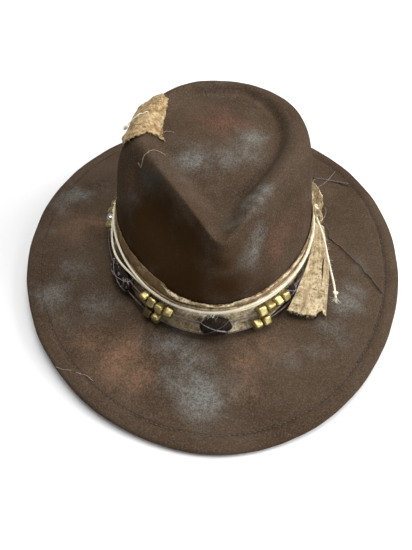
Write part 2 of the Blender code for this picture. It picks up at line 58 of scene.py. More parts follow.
# Felt
FELT_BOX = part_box("felt_body")
BRIM_HALF_WIDTH = FELT_BOX[1].x
BRIM_HALF_LENGTH = FELT_BOX[1].y
HEAD_HALF_WIDTH = 0.0860
HEAD_HALF_LENGTH = 0.1028
FELT = 0.0020
BREAK_RADIUS = 0.0070
BRIM_DIP = 0.0084
BRIM_LIFT = 0.0044
BRIM_FRONT_SHIFT = 0.0055  # the brim's front edge has been pulled this far to the wearer's left
EGG = 0.09
LOPSIDED = 0.10
NOSE_SHIFT = 0.0110
BEND_OUTSIDE = 0.0032
FOLD_WIDTH = 0.0130
FOLD_GAP = 0.0006
REST_FLAT = 0.0004
BREAK_Z = 2 * BEND_OUTSIDE + BRIM_DIP - REST_FLAT
STITCH_INSET = 0.0115
STITCH_PITCH = 0.0036

# Sweatband
SWEATBAND = 0.0008
SWEATBAND_INSET = FELT + 0.0010
SWEATBAND_LOW = 0.0020
SWEATBAND_HIGH = 0.0340
SWEATBAND_STEPS = 300

# Band, cord and strands
GAP = 0.0004
CLOTH = 0.0009
SHEET = 0.0006
HEAVY_SHEET = 0.0007
BAND_HIGH = 0.0360
CORD_RADIUS = 0.0009
CORD_RISE = 0.0245
CORD_SPACING = 0.0023
CORD_PARTING = 0.0022
CORD_CLOSING = 0.92  # how far the two turns close up in front
CORD_OVER_BEAD = 0.0038
FRONT_WISPS = 60  # loose fibres that hang from the cord in front
STRAND_RISE = {"upper": 0.0165, "lower": 0.0066}
LOWER_STRAND_OUT = 0.0030
KNOT_ANGLE = 7.0
THREAD_BACK_ANGLE = 50.0

# Twists: yarns, pitch, depth of the grooves between them
CORD_TWIST = (3, 0.0052, 0.10)
END_TWIST = (3, 0.0052, 0.12)
TIP_TWIST = (3, 0.0050, 0.10)
STRAND_TWIST = (2, 0.0030, 0.22)
WAXED_TWIST = (2, 0.0028, 0.22)
THREAD_TWIST = (2, 0.0030, 0.20)
BINDING_TWIST = (2, 0.0020, 0.20)
HEM_TWIST = (3, 0.0300, 0.18)

# Radii of loose fibres
FUZZ = 0.00004
FRAY = 0.00006
COARSE_FRAY = 0.00007

# Brass beads
BEAD_SIDE = 0.0074
BEAD_ROUNDING = 0.0014
BEAD_BORE = 0.0011
BEAD_SWELL = 1.045  # worn beads bulge a little across their bore
BEAD_REACH = (BEAD_SIDE / 2 - BEAD_ROUNDING) * math.sqrt(2) + BEAD_ROUNDING
# Bead 5 is given a darker copy of the brass.
DARKENED_BEAD = 5
# Bead 15 is a near-white copy of the brass: a painted highlight.
HIGHLIGHT_BEAD = 15

# Bound beads: ring angle, half length, half height, half depth, tilts of the two threads. The front and left
# ones bridge both strands. The left one is bulked out by its binding.
BOUND_BEADS = {
    "front": (-86.3, (0.0120, 0.0085, 0.0042), (-20, 31)),
    "left": (-145.5, (0.0172, 0.0082, 0.0050), (20, -24)),
    "right": (-42.8, (0.0045, 0.0034, 0.0030), (28, -30)),
}
FRONT_BEAD_RISE = 0.0021

# Crown rings: rise, half width, front reach, back reach, taper to the front, squareness, drop at the front
CROWN = np.array(
    (
        (BREAK_RADIUS, HEAD_HALF_WIDTH, HEAD_HALF_LENGTH, HEAD_HALF_LENGTH, EGG, 1.00, 0.0000),
        (0.0300, 0.0845, 0.1020, 0.1016, 0.11, 1.00, 0.0000),
        (0.0530, 0.0815, 0.1002, 0.1003, 0.30, 0.97, 0.0020),
        (0.0740, 0.0775, 0.0978, 0.0985, 0.58, 0.92, 0.0070),
        (0.0885, 0.0725, 0.0962, 0.0955, 0.69, 0.88, 0.0120),
        (0.0990, 0.0652, 0.0950, 0.0890, 0.71, 0.85, 0.0150),
        (0.1035, 0.0565, 0.0930, 0.0805, 0.70, 0.82, 0.0160),
        (0.1010, 0.0500, 0.0830, 0.0745, 0.71, 0.82, 0.0155),
        (0.0958, 0.0445, 0.0680, 0.0690, 0.72, 0.84, 0.0130),
        (0.0974, 0.0340, 0.0520, 0.0560, 0.66, 0.92, 0.0090),
        (0.0995, 0.0190, 0.0300, 0.0330, 0.45, 1.00, 0.0040),
    )
)
CROWN_CENTRE_RISE = 0.1000

# Dents pressed into the crown: centre, radius, depth
DENTS = (
    ((-0.046, -0.058, 0.086), 0.026, 0.0055),
    ((-0.030, -0.084, 0.078), 0.022, 0.0030),
    ((0.058, -0.052, 0.086), 0.022, 0.0016),
)
# Where handling has softened the crown's rim: how much, ring angle in degrees, and width in degrees
SOFT_SIDES = ((1.0, -38, 52), (0.55, -92, 16), (0.95, 75, 62), (0.40, -135, 30))
SOFT_FROM_LEVEL = 2.6  # crown rings above this one are softened
SOFT_PASSES = 46
BACK_FILL = 0.0030  # lift of the crown's hollow towards the back
SHOULDER_FILL = 0.0092  # outward swell of the rim at the back of the +X side

# The crease inside the rim, in plan, from the back round the +X side to behind the nose
CREASE = (
    (-0.020, 0.069), (0.014, 0.072), (0.031, 0.062), (0.042, 0.047), (0.049, 0.025),
    (0.049, 0.004), (0.043, -0.016), (0.034, -0.031), (0.021, -0.048), (0.009, -0.061),
)
CREASE_WIDTH = 0.0042
CREASE_DEPTH = 0.0034
CREASE_LOWEST = BREAK_Z + 0.078

# Paint rubbed into the felt, and painted shade. One below the dark limit soaks in evenly. Only the umber
# does, and it is partly umber stain and partly painted shade on the crown's front and in its left pinch. A
# lighter one catches only the felt's nap.
DARK_PAINT_AND_SHADE = 0.05
PAINTS = {
    "blue": (0.200, 0.207, 0.192),
    "rust": (0.228, 0.130, 0.081),
    "red": (0.155, 0.074, 0.051),
    "teal": (0.058, 0.068, 0.058),
    # umber: partly stain, partly painted shade
    "umber_and_shade": (0.034, 0.0160, 0.0045),
}
# Marks of each paint: x, y, z and radius in millimetres, and strength
PAINT_MARKS = {
    # Umber marks on the crown's front and in its left pinch: partly stain, partly painted shade.
    "umber_and_shade": (
        (-46, -62, 75, 34, 1.5), (-20, -92, 60, 30, 1.3), (-18, -76, 84, 24, 1.2),
        (12, -100, 64, 22, 0.9), (-66, -40, 56, 28, 0.8), (40, -90, 52, 20, 0.5), (8, -96, 86, 20, 0.75),
    ),
    "teal": ((-44, -40, 101, 14, 1.10), (-64, -38, 70, 15, 0.70)),
    "red": (
        (3, 22, 114, 20, 0.70), (18, 21, 114, 15, 0.55), (-10, 31, 114, 16, 0.50), (4, 42, 113, 15, 0.40),
        # The two faint red marks at x 72 and 76 mm are painted light: they lighten the +X wall in place of
        # more light from that side.
        (47, -68, 74, 16, 0.60), (56, -54, 78, 16, 0.45), (72, -30, 75, 22, 0.35), (76, 20, 75, 20, 0.35),
        (-63, -22, 91, 14, 0.55), (-10, -98, 62, 16, 0.50),
    ),
    "rust": (
        (12, -93, 96, 10, 0.35), (-128, -2, 16, 20, 0.55), (-112, 10, 15, 14, 0.50),
        (-140, 20, 16, 12, 0.30), (-67, -131, 11, 23, 0.85), (-50, -146, 10, 17, 0.75),
        (-86, -120, 11, 16, 0.60), (-60, -112, 12, 13, 0.45), (31, -127, 12, 17, 0.60),
        (48, -115, 13, 14, 0.55), (30, -148, 10, 18, 0.45), (60, -112, 13, 12, 0.30),
        (107, -16, 15, 17, 0.28), (-60, 140, 10, 22, 0.70), (110, 70, 14, 18, 0.25),
        (-30, 98, 70, 20, 0.50),
    ),
    "blue": (
        (0, 74, 113.5, 26, 0.22), (-18, -19, 111, 15, 0.75), (-23, -27, 109, 10, 0.45),
        (27, 6, 113, 15, 0.75), (24, -9, 112, 13, 0.60), (10, -19, 112, 17, 0.52),
        (-5, -21, 112, 15, 0.45), (35, -51, 112, 10, 0.62), (29, -59, 110, 10, 0.66),
        (24, -65, 107, 10, 0.55), (16, -74, 102, 9, 0.40), (33, -75, 89, 11, 0.62),
        (29, -83, 83, 11, 0.66), (26, -88, 76, 10, 0.40), (78, -10, 80, 14, 0.30),
        (-25, -30, 108, 9, 0.35), (-19, -40, 107, 9, 0.35), (-61, -31, 83, 11, 0.42),
        (-60, -38, 75, 10, 0.35), (-70, 50, 65, 18, 0.50), (50, 88, 75, 18, 0.60),
        (-137, 44, 16, 17, 0.70), (-150, 26, 17, 15, 0.50), (-118, 54, 16, 14, 0.35),
        (-152, -10, 17, 12, 0.30), (-130, -78, 15, 18, 0.60), (-118, -50, 15, 17, 0.45),
        (-92, -85, 14, 18, 0.55), (-107, -100, 14, 15, 0.35), (-26, -117, 13, 18, 0.60),
        (-45, -118, 13, 14, 0.30), (-3, -157, 9, 21, 0.95), (-18, -147, 10, 17, 0.65),
        (-11, -129, 13, 18, 0.62), (22, -150, 10, 16, 0.40), (60, -128, 12, 16, 0.30),
        (112, -72, 14, 16, 0.70), (120, -58, 14, 14, 0.50), (98, -100, 13, 16, 0.50),
        (84, -116, 12, 14, 0.30), (130, -34, 15, 14, 0.35), (-20, 160, 8, 20, 0.70),
        (70, 130, 10, 22, 0.70),
    ),
}

# The short end's outer edge from the knot to its tip, and its inner edge's ring angles and rises
SHORT_END_EDGE = (
    (0.0900, 0.0065, 0.0300),
    (0.0965, 0.0130, 0.0350),
    (0.0972, 0.0223, 0.0410),
    (0.0940, 0.0315, 0.0450),
    (0.0896, 0.0365, 0.0475),
)
SHORT_END_ANGLES = (KNOT_ANGLE - 1.0, KNOT_ANGLE + 17.0)
SHORT_END_RISES = (0.0135, 0.0290)

# The long end and the cord's end: control points above the brim break, from the knot to the free end
TAIL_INNER_EDGE = (
    (0.0880, -0.0036, 0.0205),
    (0.0820, -0.0300, 0.0215),
    (0.0770, -0.0590, 0.0215),
    (0.0610, -0.0885, 0.0045),
)
TAIL_OUTER_EDGE = (
    (0.0975, -0.0036, 0.0170),
    (0.0985, -0.0300, 0.0100),
    (0.0985, -0.0600, 0.0040),
    (0.0900, -0.0930, 0.0030),
)
CORD_TAIL = (
    (0.0892, -0.0052, 0.0294),
    (0.0904, -0.0286, 0.0322),
    (0.0976, -0.0562, 0.0254),
    (0.0999, -0.0794, 0.0106),
)
WIDE_STRIP = 0.78  # share of the tail's width in its wide strip

# The patch's outline. The front and back edges are crown angles in degrees, at shares of the way in over the
# rim. The outside and inside edges are crown levels, at shares of the way back.
PATCH_SIDES = (0.0, 0.2, 0.4, 0.52, 0.8, 1.0)
PATCH_FRONT = (181.0, 182.0, 179.0, 176.0, 174.0, 181.5)
PATCH_BACK = (149.0, 144.0, 139.0, 138.0, 138.0, 138.5)
PATCH_SHARES = (0.0, 0.3, 0.65, 1.0)
PATCH_OUTSIDE = (4.6, 4.2, 4.2, 4.4)
PATCH_INSIDE = (8.6, 8.3, 7.7, 6.7)
PATCH_THREAD = ((167, 4.25), (169, 4.55), (167, 4.9), (163, 5.5), (160, 6.1))

# Loose threads: three that lie on the felt, and three grey ones that spring from the knot
STRAY_THREADS = (
    ((-0.0541, -0.0248, 0.1097), (-0.0525, -0.0279, 0.1077), (-0.0506, -0.0280, 0.1114),
     (-0.0491, -0.0252, 0.1162), (-0.0464, -0.0231, 0.1174), (-0.0428, -0.0186, 0.1152),
     (-0.0391, -0.0157, 0.1116), (-0.0354, -0.0168, 0.1099)),
    ((-0.0409, 0.0118, 0.1103), (-0.0370, 0.0121, 0.1112), (-0.0320, 0.0092, 0.1123)),
    ((-0.1096, -0.1407, 0.0116), (-0.1017, -0.1427, 0.0116), (-0.0943, -0.1440, 0.0103),
     (-0.0864, -0.1460, 0.0104), (-0.0800, -0.1495, 0.0100)),
)
GREY_CURLS = (
    ((0.0915, 0.030, 0.034), (0.0945, 0.0496, 0.0300), (0.1025, 0.0570, 0.0280), (0.1126, 0.0727, 0.0220),
     (0.1244, 0.0931, 0.0185)),
    ((0.0915, 0.030, 0.032), (0.1003, 0.0760, 0.0200), (0.1180, 0.0805, 0.0165), (0.1368, 0.0761, 0.0172)),
    ((0.0925, 0.028, 0.036), (0.0958, 0.0419, 0.0340), (0.0984, 0.0321, 0.0340), (0.0959, 0.0106, 0.0300),
     (0.1006, 0.0124, 0.0260), (0.1052, 0.0243, 0.0240), (0.1044, 0.0289, 0.0260)),
)

# Cottons: ground, pale, stain and dark colours, and how widely they are stained
COTTONS = {
    "tan": ((0.26, 0.155, 0.075), (0.52, 0.385, 0.225), (0.165, 0.092, 0.032), (0.060, 0.035, 0.018), 0.06),
    # The cream is a brightened copy of the tail's cloth: its extra brightness on the band's upright turns,
    # which get less light, is painted light.
    "cream": ((0.36, 0.265, 0.140), (0.86, 0.745, 0.52), (0.20, 0.125, 0.055), (0.13, 0.080, 0.042), 0.00),
    "tail": ((0.34, 0.25, 0.135), (0.65, 0.54, 0.345), (0.30, 0.185, 0.10), (0.10, 0.062, 0.031), 0.06),
    "scrap": ((0.27, 0.165, 0.070), (0.60, 0.46, 0.26), (0.24, 0.125, 0.052), (0.14, 0.075, 0.034), 0.10),
}
# Bead metals: bright and tarnished colours, and dullness
METALS = {
    "aged_brass": ((0.54, 0.45, 0.20), (0.30, 0.23, 0.090), 0.42),
    # A darker copy of the brass for one bead.
    "darkened_brass": ((0.20, 0.145, 0.075), (0.085, 0.055, 0.028), 0.55),
    # A near-white copy of the brass for one bead: a painted highlight.
    "highlight_brass": ((0.95, 0.94, 0.90), (0.62, 0.60, 0.54), 0.30),
}

# Stage. Area lights: name, place, size and power
LIGHTS = (
    ("top", (0.05, 0.25, 1.40), 1.0, 20.0),
    ("right", (1.10, 0.05, 0.80), 0.7, 14.5),
    ("front", (0.75, -0.90, 0.45), 0.8, 5.0),
)
FILL_STRENGTH = 0.14  # light that the surroundings cast; the camera sees them as white
CAMERA_LENS = 28.06
CAMERA_PLACE = (0.0063, -0.2799, 0.3001)
CAMERA_AIM = (-0.0277, 0.6264, -0.7790)
CAMERA_ROLL = 0.5  # degrees


# ---------------------------------------------------------------- shape formulas on arrays


def bell(value, centre, width):
    """1 where value is at the centre, falling smoothly to 0 away from it."""
    return np.exp(-(((value - centre) / width) ** 2))


def unit(vectors):
    return vectors / np.maximum(np.linalg.norm(vectors, axis=-1, keepdims=True), 1e-12)


def spline(points, place):
    """A smooth curve through rows of points, at fractional row numbers."""
    points, place = np.asarray(points, float), np.asarray(place, float)
    last = len(points) - 1
    i = np.clip(place.astype(int), 0, last - 1)
    t = (place - i)[..., None]
    before, low = points[np.maximum(i - 1, 0)], points[i]
    high, after = points[i + 1], points[np.minimum(i + 2, last)]
    bow = 2 * before - 5 * low + 4 * high - after
    return 0.5 * (2 * low + (high - before) * t + bow * t**2 + (3 * low - before - 3 * high + after) * t**3)


def curve_through(points, count):
    return spline(points, np.linspace(0, len(points) - 1, count))


def bezier(points, share):
    points = [np.asarray(p, float) for p in points]
    share = np.asarray(share, float)[..., None]
    while len(points) > 1:
        points = [a * (1 - share) + b * share for a, b in zip(points, points[1:])]
    return points[0]


def ring_angles(count=ROUND_STEPS):
    return np.arange(count) * TAU / count


def signed_degrees(angle):
    return (np.degrees(angle) + 180) % 360 - 180


def section(angle, half_width, front, back, taper, squareness):
    """An egg-to-teardrop outline: x and y at ring angles."""
    c, s = np.cos(angle), np.sin(angle)
    toward_front = np.maximum(0.0, -s) ** 1.15
    toward_back = np.maximum(0.0, s)
    power = 1.0 + (squareness - 1.0) * np.minimum(1.0, 3.0 * toward_back + 0.4)
    pinch = 1.0 - taper * (1.0 - LOPSIDED * c) * toward_front
    x = half_width * np.sign(c) * np.abs(c) ** power * pinch + NOSE_SHIFT * taper * toward_front
    y = (back - front) / 2 + (back + front) / 2 * s
    return x, y


def ring_point(angle, measures, outward):
    rise, half_width, front, back, taper, squareness, drop = np.moveaxis(measures, -1, 0)
    x, y = section(angle, half_width + outward, front + outward, back + outward, taper, squareness)
    z = BREAK_Z + rise - drop * np.maximum(0.0, -np.sin(angle)) ** 2
    return np.stack(np.broadcast_arrays(x, y, z), -1)


def crown(angle, level):
    """A point on the crown's outer face at a fractional ring number."""
    return ring_point(angle, spline(CROWN, level), 0.0)


def wall(angle, rise, outward):
    """A point outside the crown wall at a rise."""
    levels = np.linspace(0, 6, 121)
    measures = spline(CROWN, np.interp(rise, spline(CROWN, levels)[:, 0], levels))
    measures[..., 0] = rise
    return ring_point(angle, measures, outward)


def ring_like(measures, angle, rise):
    """One ring's measures for each angle, at another rise."""
    measures = np.broadcast_to(measures, np.shape(angle) + (CROWN.shape[1],)).copy()
    measures[..., 0] = rise
    return measures


def bend(angle, turn, outward):
    """A point on the bend between brim (turn 90 degrees) and wall (turn 0)."""
    radius = BREAK_RADIUS - outward
    measures = ring_like(CROWN[0], angle, BREAK_RADIUS - radius * np.sin(np.radians(turn)))
    return ring_point(angle, measures, BREAK_RADIUS - radius * np.cos(np.radians(turn)))


def inside_crown(angle, rise, outward):
    """A point inside the crown, on the upright ring that the sweatband follows."""
    high = spline(CROWN, np.interp(SWEATBAND_HIGH, CROWN[:3, 0], (0, 1, 2)))
    measures = ring_like(high, angle, rise)
    measures[..., 6] = 0.0
    return ring_point(angle, measures, outward)


def brim(angle, share, above=0.0):
    """A point on the brim's upper face: share 0 is at the break and 1 at the edge."""
    x0, y0 = section(angle, *CROWN[0][1:6])
    c, s = np.cos(angle), np.sin(angle)
    x = x0 + (BRIM_HALF_WIDTH * c - x0) * share + BRIM_FRONT_SHIFT * np.maximum(0.0, -s) ** 3 * share
    y = y0 + (BRIM_HALF_LENGTH * s - y0) * share
    share = np.maximum(share, 0.0)
    fall = np.sin(np.pi / 2 * share) ** 2
    z = BREAK_Z + BRIM_LIFT * c * c * share**1.8 - BRIM_DIP * s * s * fall + above
    return np.stack(np.broadcast_arrays(x, y, z), -1)


def brim_width(angle):
    return np.linalg.norm((brim(angle, 1.0) - brim(angle, 0.0))[..., :2], axis=-1)


def brim_inside_edge(angle, inset, down):
    """A point inside the brim's edge and below its upper face, kept above the table."""
    point = brim(angle, 1.0 - inset / brim_width(angle), -down)
    point[..., 2] = np.maximum(0.0, point[..., 2])
    return point


def skin(angle, climb, lift):
    """A point over the felt. climb is 0 at the bend's foot, less on the brim and more on the wall."""
    angle, climb, lift = np.broadcast_arrays(angle, climb, lift)
    arc = BREAK_RADIUS * math.pi / 2
    on_brim = brim(angle, (BREAK_RADIUS - climb) / brim_width(angle), lift)
    on_bend = bend(angle, 90 * (1 - np.clip(climb / arc, 0, 1)), lift)
    on_wall = wall(angle, np.maximum(BREAK_RADIUS, BREAK_RADIUS + climb - arc), lift)
    return np.where((climb < 0)[..., None], on_brim, np.where((climb < arc)[..., None], on_bend, on_wall))


def on_band(angle, rise, out):
    """A point outside the cloth band."""
    return wall(np.asarray(angle, float), np.asarray(rise, float), GAP + CLOTH + out)


def strand(which, angle):
    """A point on one of the two strands, which stand off the band by a bead's reach."""
    out = GAP + BEAD_REACH + (LOWER_STRAND_OUT if which == "lower" else 0.0)
    return on_band(angle, STRAND_RISE[which], out)


def band_axes(angle):
    """Axes on the band at a ring angle: along the band, up, outward."""
    along = unit(on_band(angle + 0.01, CORD_RISE, 0.0) - on_band(angle - 0.01, CORD_RISE, 0.0))
    up = np.array((0, 0, 1.0))
    return np.stack((along, up, unit(np.cross(along, up))), 1)


def on_crown(angle, level, lift):
    """A point a distance off the crown, along the felt's own normal."""
    across = crown(angle + 0.01, level) - crown(angle - 0.01, level)
    upward = crown(angle, level + 0.05) - crown(angle, level - 0.05)
    return crown(angle, level) + unit(np.cross(across, upward)) * np.asarray(lift)[..., None]


def ripple(points, size, seed):
    """Smooth noise between about -1 and 1 over points, with features of about a size."""
    rng = np.random.default_rng(seed)
    waves = 7
    total = np.zeros(points.shape[:-1])
    for _ in range(waves):
        way = rng.normal(size=3)
        way *= rng.uniform(0.6, 1.5) / np.linalg.norm(way)
        total += np.sin(points @ way * TAU / size + rng.uniform(0, TAU))
    return total / waves * 1.6


def normals(grid):
    """Outward normals of a grid of points whose columns run round the hat."""
    return unit(np.cross(np.roll(grid, -1, 1) - np.roll(grid, 1, 1), np.gradient(grid, axis=0)))


def lengths_along(path):
    return np.concatenate(([0], np.cumsum(np.linalg.norm(np.diff(path, axis=0), axis=1))))


# ---------------------------------------------------------------- meshes


def add_object(name, mesh, body, look, replaces=None, thickness=None, place=None):
    """Puts a mesh in the scene on its body. A look is a material."""
    piece = bpy.data.objects.new(name, mesh)
    bpy.context.scene.collection.objects.link(piece)
    mesh.materials.append(look[0])
    mesh.shade_smooth()
    if thickness:
        solidify = piece.modifiers.new("thickness", "SOLIDIFY")
        solidify.thickness = thickness
        solidify.offset = 0.0
    if place is not None:
        piece.matrix_world = place
    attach(piece, body)
    if replaces:
        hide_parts(replaces)
    return piece


def mesh_of(name, points, faces, uv=None):
    """A mesh. Its uv, where given, is one pair per point, in metres along and across the cloth."""
    mesh = bpy.data.meshes.new(name)
    mesh.from_pydata(np.asarray(points, float).reshape(-1, 3).tolist(), [], faces)
    mesh.validate()
    if uv is not None:
        index = np.zeros(len(mesh.loops), int)
        mesh.loops.foreach_get("vertex_index", index)
        layer = mesh.uv_layers.new(name="UVMap")
        layer.data.foreach_set("uv", np.asarray(uv, np.float32).reshape(-1, 2)[index].ravel())
    return mesh


def grid_faces(rows, columns, closed=True, offset=0):
    """Quads of a grid of points, wound so that they face outward when columns run anticlockwise."""
    faces = []
    for r in range(rows - 1):
        for c in range(columns if closed else columns - 1):
            d = (c + 1) % columns
            low, high = offset + r * columns, offset + (r + 1) * columns
            faces.append((low + c, low + d, high + d, high + c))
    return faces


def grid_mesh(name, grid, closed=True, capped=False, uv=None):
    rows, columns = np.shape(grid)[:2]
    faces = grid_faces(rows, columns, closed)
    if capped:
        faces.append(tuple(reversed(range(columns))))
        faces.append(tuple((rows - 1) * columns + c for c in range(columns)))
    return mesh_of(name, grid, faces, uv)


def cloth_sheet(name, grid, body, look, replaces=None, thickness=SHEET, closed=False, uv=None):
    """A thin sheet of cloth from a grid of points, given its thickness by Solidify."""
    if uv is None:
        along = np.cumsum(np.linalg.norm(np.diff(grid, axis=1, prepend=grid[:, :1]), axis=-1), 1)
        upward = np.cumsum(np.linalg.norm(np.diff(grid, axis=0, prepend=grid[:1]), axis=-1), 0)
        uv = np.stack((along, upward), -1)
    return add_object(name, grid_mesh(name, grid, closed, uv=uv), body, look, replaces, thickness)


def tube(path, radius, sides=6, twist=None, flat=1.0, closed=False):
    """Points and faces of a tube along a path. A twist is its yarns, their pitch and their depth."""
    path = np.asarray(path, float)
    count = len(path)
    tangent = unit(np.roll(path, -1, 0) - np.roll(path, 1, 0) if closed else np.gradient(path, axis=0))
    helper = np.where(np.abs(tangent[:, 2:3]) > 0.9, [[1.0, 0, 0]], [[0, 0, 1.0]])
    side = unit(np.cross(tangent, helper))
    up = np.cross(side, tangent)
    phase = ring_angles(sides)
    radius = np.broadcast_to(radius, (count,))[:, None]
    if twist:
        yarns, pitch, depth = twist
        turned = phase[None] - lengths_along(path)[:, None] * TAU / pitch
        radius = radius * (1 + depth * np.cos(yarns * turned))
    ring = side[:, None] * np.cos(phase)[None, :, None] * flat + up[:, None] * np.sin(phase)[None, :, None]
    points = path[:, None] + ring * radius[..., None]
    faces = []
    for r in range(count if closed else count - 1):
        low, high = r * sides, (r + 1) % count * sides
        for c in range(sides):
            d = (c + 1) % sides
            faces.append((low + c, high + c, high + d, low + d))
    if not closed:
        faces.append(tuple(range(sides)))
        faces.append(tuple((count - 1) * sides + c for c in reversed(range(sides))))
    return points.reshape(-1, 3), faces


def tubes(name, paths, radius, body, look, replaces=None, **shape):
    """One piece made of many tubes."""
    points, faces, start = [], [], 0
    for path in paths:
        found, quads = tube(path, radius, **shape)
        points.append(found)
        faces += [tuple(i + start for i in quad) for quad in quads]
        start += len(found)
    add_object(name, mesh_of(name, np.concatenate(points), faces), body, look, replaces)


def fibres(name, starts, ways, lengths, radius, body, look, rng, seed, sides=4, curl=0.5, steps=5):
    """Short bent fibres. Their lengths are drawn from rng, and their bends come from a seed."""
    bends = np.random.default_rng(seed)
    paths = []
    for start, way, length in zip(starts, ways, rng.uniform(*lengths, len(starts))):
        way = way / max(np.linalg.norm(way), 1e-9)
        turn = bends.normal(size=3) * curl
        path = [np.array(start, float)]
        for _ in range(steps):
            way = way + turn / steps
            way = way / np.linalg.norm(way)
            path.append(path[-1] + way * length / steps)
        paths.append(path)
    tubes(name, paths, radius, body, look, sides=sides)


def ball_grid(half, rows, columns):
    """Rings of a unit ball about its own third axis, and of the ellipsoid with these half sizes."""
    lift = np.linspace(-math.pi / 2 + 0.02, math.pi / 2 - 0.02, rows)[:, None]
    turn = ring_angles(columns)[None]
    x, y = np.cos(lift) * np.cos(turn), np.cos(lift) * np.sin(turn)
    ball = np.stack(np.broadcast_arrays(x, y, np.sin(lift)), -1)
    return ball, ball * np.array(half)


def overhand(wide, narrow, deep, count):
    """The closed path of a small overhand knot about its middle."""
    turn = ring_angles(count)
    x = wide * np.sin(turn) + narrow * np.sin(2 * turn)
    y = wide * np.cos(turn) - narrow * np.cos(2 * turn)
    return np.stack((x, y, -deep * np.sin(3 * turn)), -1)


# ---------------------------------------------------------------- materials


class Finish:
    """Builds a node material step by step. Sockets are passed from one call to the next."""

    def __init__(self, name, roughness, metallic=0.0):
        self.material = bpy.data.materials.new(name)
        self.material.use_nodes = True
        self.tree = self.material.node_tree
        self.shader = self.tree.nodes["Principled BSDF"]
        self.place = self.node("ShaderNodeTexCoord").outputs["Object"]
        self.set("Roughness", roughness)
        self.set("Metallic", metallic)

    def link(self, source, target):
        if isinstance(source, bpy.types.NodeSocket):
            self.tree.links.new(source, target)
        else:
            target.default_value = (*source, 1.0) if target.type == "RGBA" else source

    def set(self, name, value):
        self.link(value, self.shader.inputs[name])

    def node(self, kind, inputs=None, **settings):
        made = self.tree.nodes.new(kind)
        for key, value in settings.items():
            setattr(made, key, value)
        for key, value in (inputs or {}).items():
            self.link(value, made.inputs[key])
        return made

    def noise(self, size, detail=2.0, roughness=0.5, warp=0.0, place=None):
        """Noise from 0 to 1 with features of about a size in metres."""
        inputs = {"Vector": place or self.place, "Scale": 1.0 / size, "Detail": detail}
        inputs.update({"Roughness": roughness, "Distortion": warp})
        return self.node("ShaderNodeTexNoise", inputs).outputs["Fac"]

    def threads(self, pitch, direction):
        """Bands from 0 to 1 across the cloth, a pitch apart."""
        place = self.node("ShaderNodeTexCoord").outputs["UV"]
        inputs = {"Vector": place, "Scale": 0.5 / pitch, "Distortion": 0.6, "Detail": 1.0}
        return self.node("ShaderNodeTexWave", inputs, bands_direction=direction).outputs["Fac"]

    def step(self, value, low, high):
        """0 below low, 1 above high, and smooth between."""
        inputs = {"Value": value, "From Min": low, "From Max": high}
        return self.node("ShaderNodeMapRange", inputs, interpolation_type="SMOOTHSTEP").outputs["Result"]

    def patches(self, size, low, high, detail=2.0, roughness=0.5, warp=0.0):
        """Soft-edged patches of noise, 0 where it is below low and 1 where it is above high."""
        return self.step(self.noise(size, detail, roughness, warp), low, high)

    def times(self, a, b):
        return self.node("ShaderNodeMath", {0: a, 1: b}, operation="MULTIPLY").outputs[0]

    def plus(self, a, b):
        return self.node("ShaderNodeMath", {0: a, 1: b}, operation="ADD").outputs[0]

    def mask(self, name):
        return self.node("ShaderNodeAttribute", attribute_name=name).outputs["Fac"]

    def mix(self, share, a, b):
        """Colour a where share is 0 and colour b where it is 1."""
        return self.node("ShaderNodeMix", {0: share, 6: a, 7: b}, data_type="RGBA").outputs[2]

    def bump(self, height, strength, distance, under=None):
        """Raises the surface by a height, over another bump where one is given."""
        inputs = {"Height": height, "Strength": strength, "Distance": distance}
        if under is not None:
            inputs["Normal"] = under
        return self.node("ShaderNodeBump", inputs).outputs[0]

    def done(self, colour, normal=None, others=None):
        """Sets the colour, the bumps and any other inputs, and gives the material."""
        self.set("Base Color", colour)
        if normal is not None:
            self.set("Normal", normal)
        for name, value in (others or {}).items():
            self.set(name, value)
        return self.material


def felt_finish():
    """Wool felt: heathered brown, with dry-brushed paint where the masks say. The umber layer is partly
    painted shade.
    """
    f = Finish("felt_wool", 0.95)
    grain = f.noise(0.0011, 2.0, 0.7)
    fibre = f.noise(0.0016, 3.0, 0.7, 1.5)
    shade = f.mix(f.patches(0.050, 0.3, 0.7, 3.0), (0.052, 0.0325, 0.0195), (0.074, 0.0505, 0.0335))
    shade = f.mix(f.times(f.patches(0.012, 0.45, 0.75, 3.0, 0.6, 1.0), 0.35), shade, (0.090, 0.063, 0.045))
    shade = f.mix(f.times(f.step(grain, 0.45, 0.80), 0.8), shade, (0.125, 0.096, 0.073))
    shade = f.mix(f.times(f.step(grain, 0.50, 0.25), 0.5), shade, (0.030, 0.017, 0.009))
    speckle = f.plus(f.times(grain, 0.60), f.times(f.noise(0.0030, 2.0, 0.6), 0.40))
    dabs = f.plus(f.times(f.step(speckle, 0.38, 0.62), 0.66), 0.22)
    smears = f.times(f.plus(f.noise(0.0140, 5.0, 0.70, 0.25), -0.5), 0.95)
    for name, tint in PAINTS.items():
        layer = f.step(f.plus(f.mask("paint_" + name), smears), 0.06, 1.0)
        # The umber layer, partly painted shade, covers evenly rather than in dabs.
        cover = dabs if max(tint) > DARK_PAINT_AND_SHADE else 0.90
        shade = f.mix(f.times(layer, cover), shade, tint)
    nap = f.bump(fibre, 0.35, 0.0006, f.bump(grain, 0.6, 0.0005))
    return f.done(shade, nap, {"Specular IOR Level": 0.03})


def thread_finish(name, colour, light, roughness=0.7):
    f = Finish(name, roughness)
    return f.done(f.mix(f.patches(0.0012, 0.35, 0.7), colour, light), f.bump(f.noise(0.0004), 0.4, 0.0002))


def cord_finish():
    f = Finish("cream_cotton", 0.85)
    shade = f.mix(f.patches(0.012, 0.3, 0.7), (0.70, 0.62, 0.44), (0.88, 0.83, 0.68))
    shade = f.mix(f.patches(0.0012, 0.60, 0.80), shade, (0.55, 0.45, 0.29))
    sheen = {"Sheen Weight": 0.2, "Sheen Roughness": 0.5, "Sheen Tint": (1.0, 0.95, 0.85)}
    return f.done(shade, f.bump(f.noise(0.0005), 0.4, 0.0003), sheen)


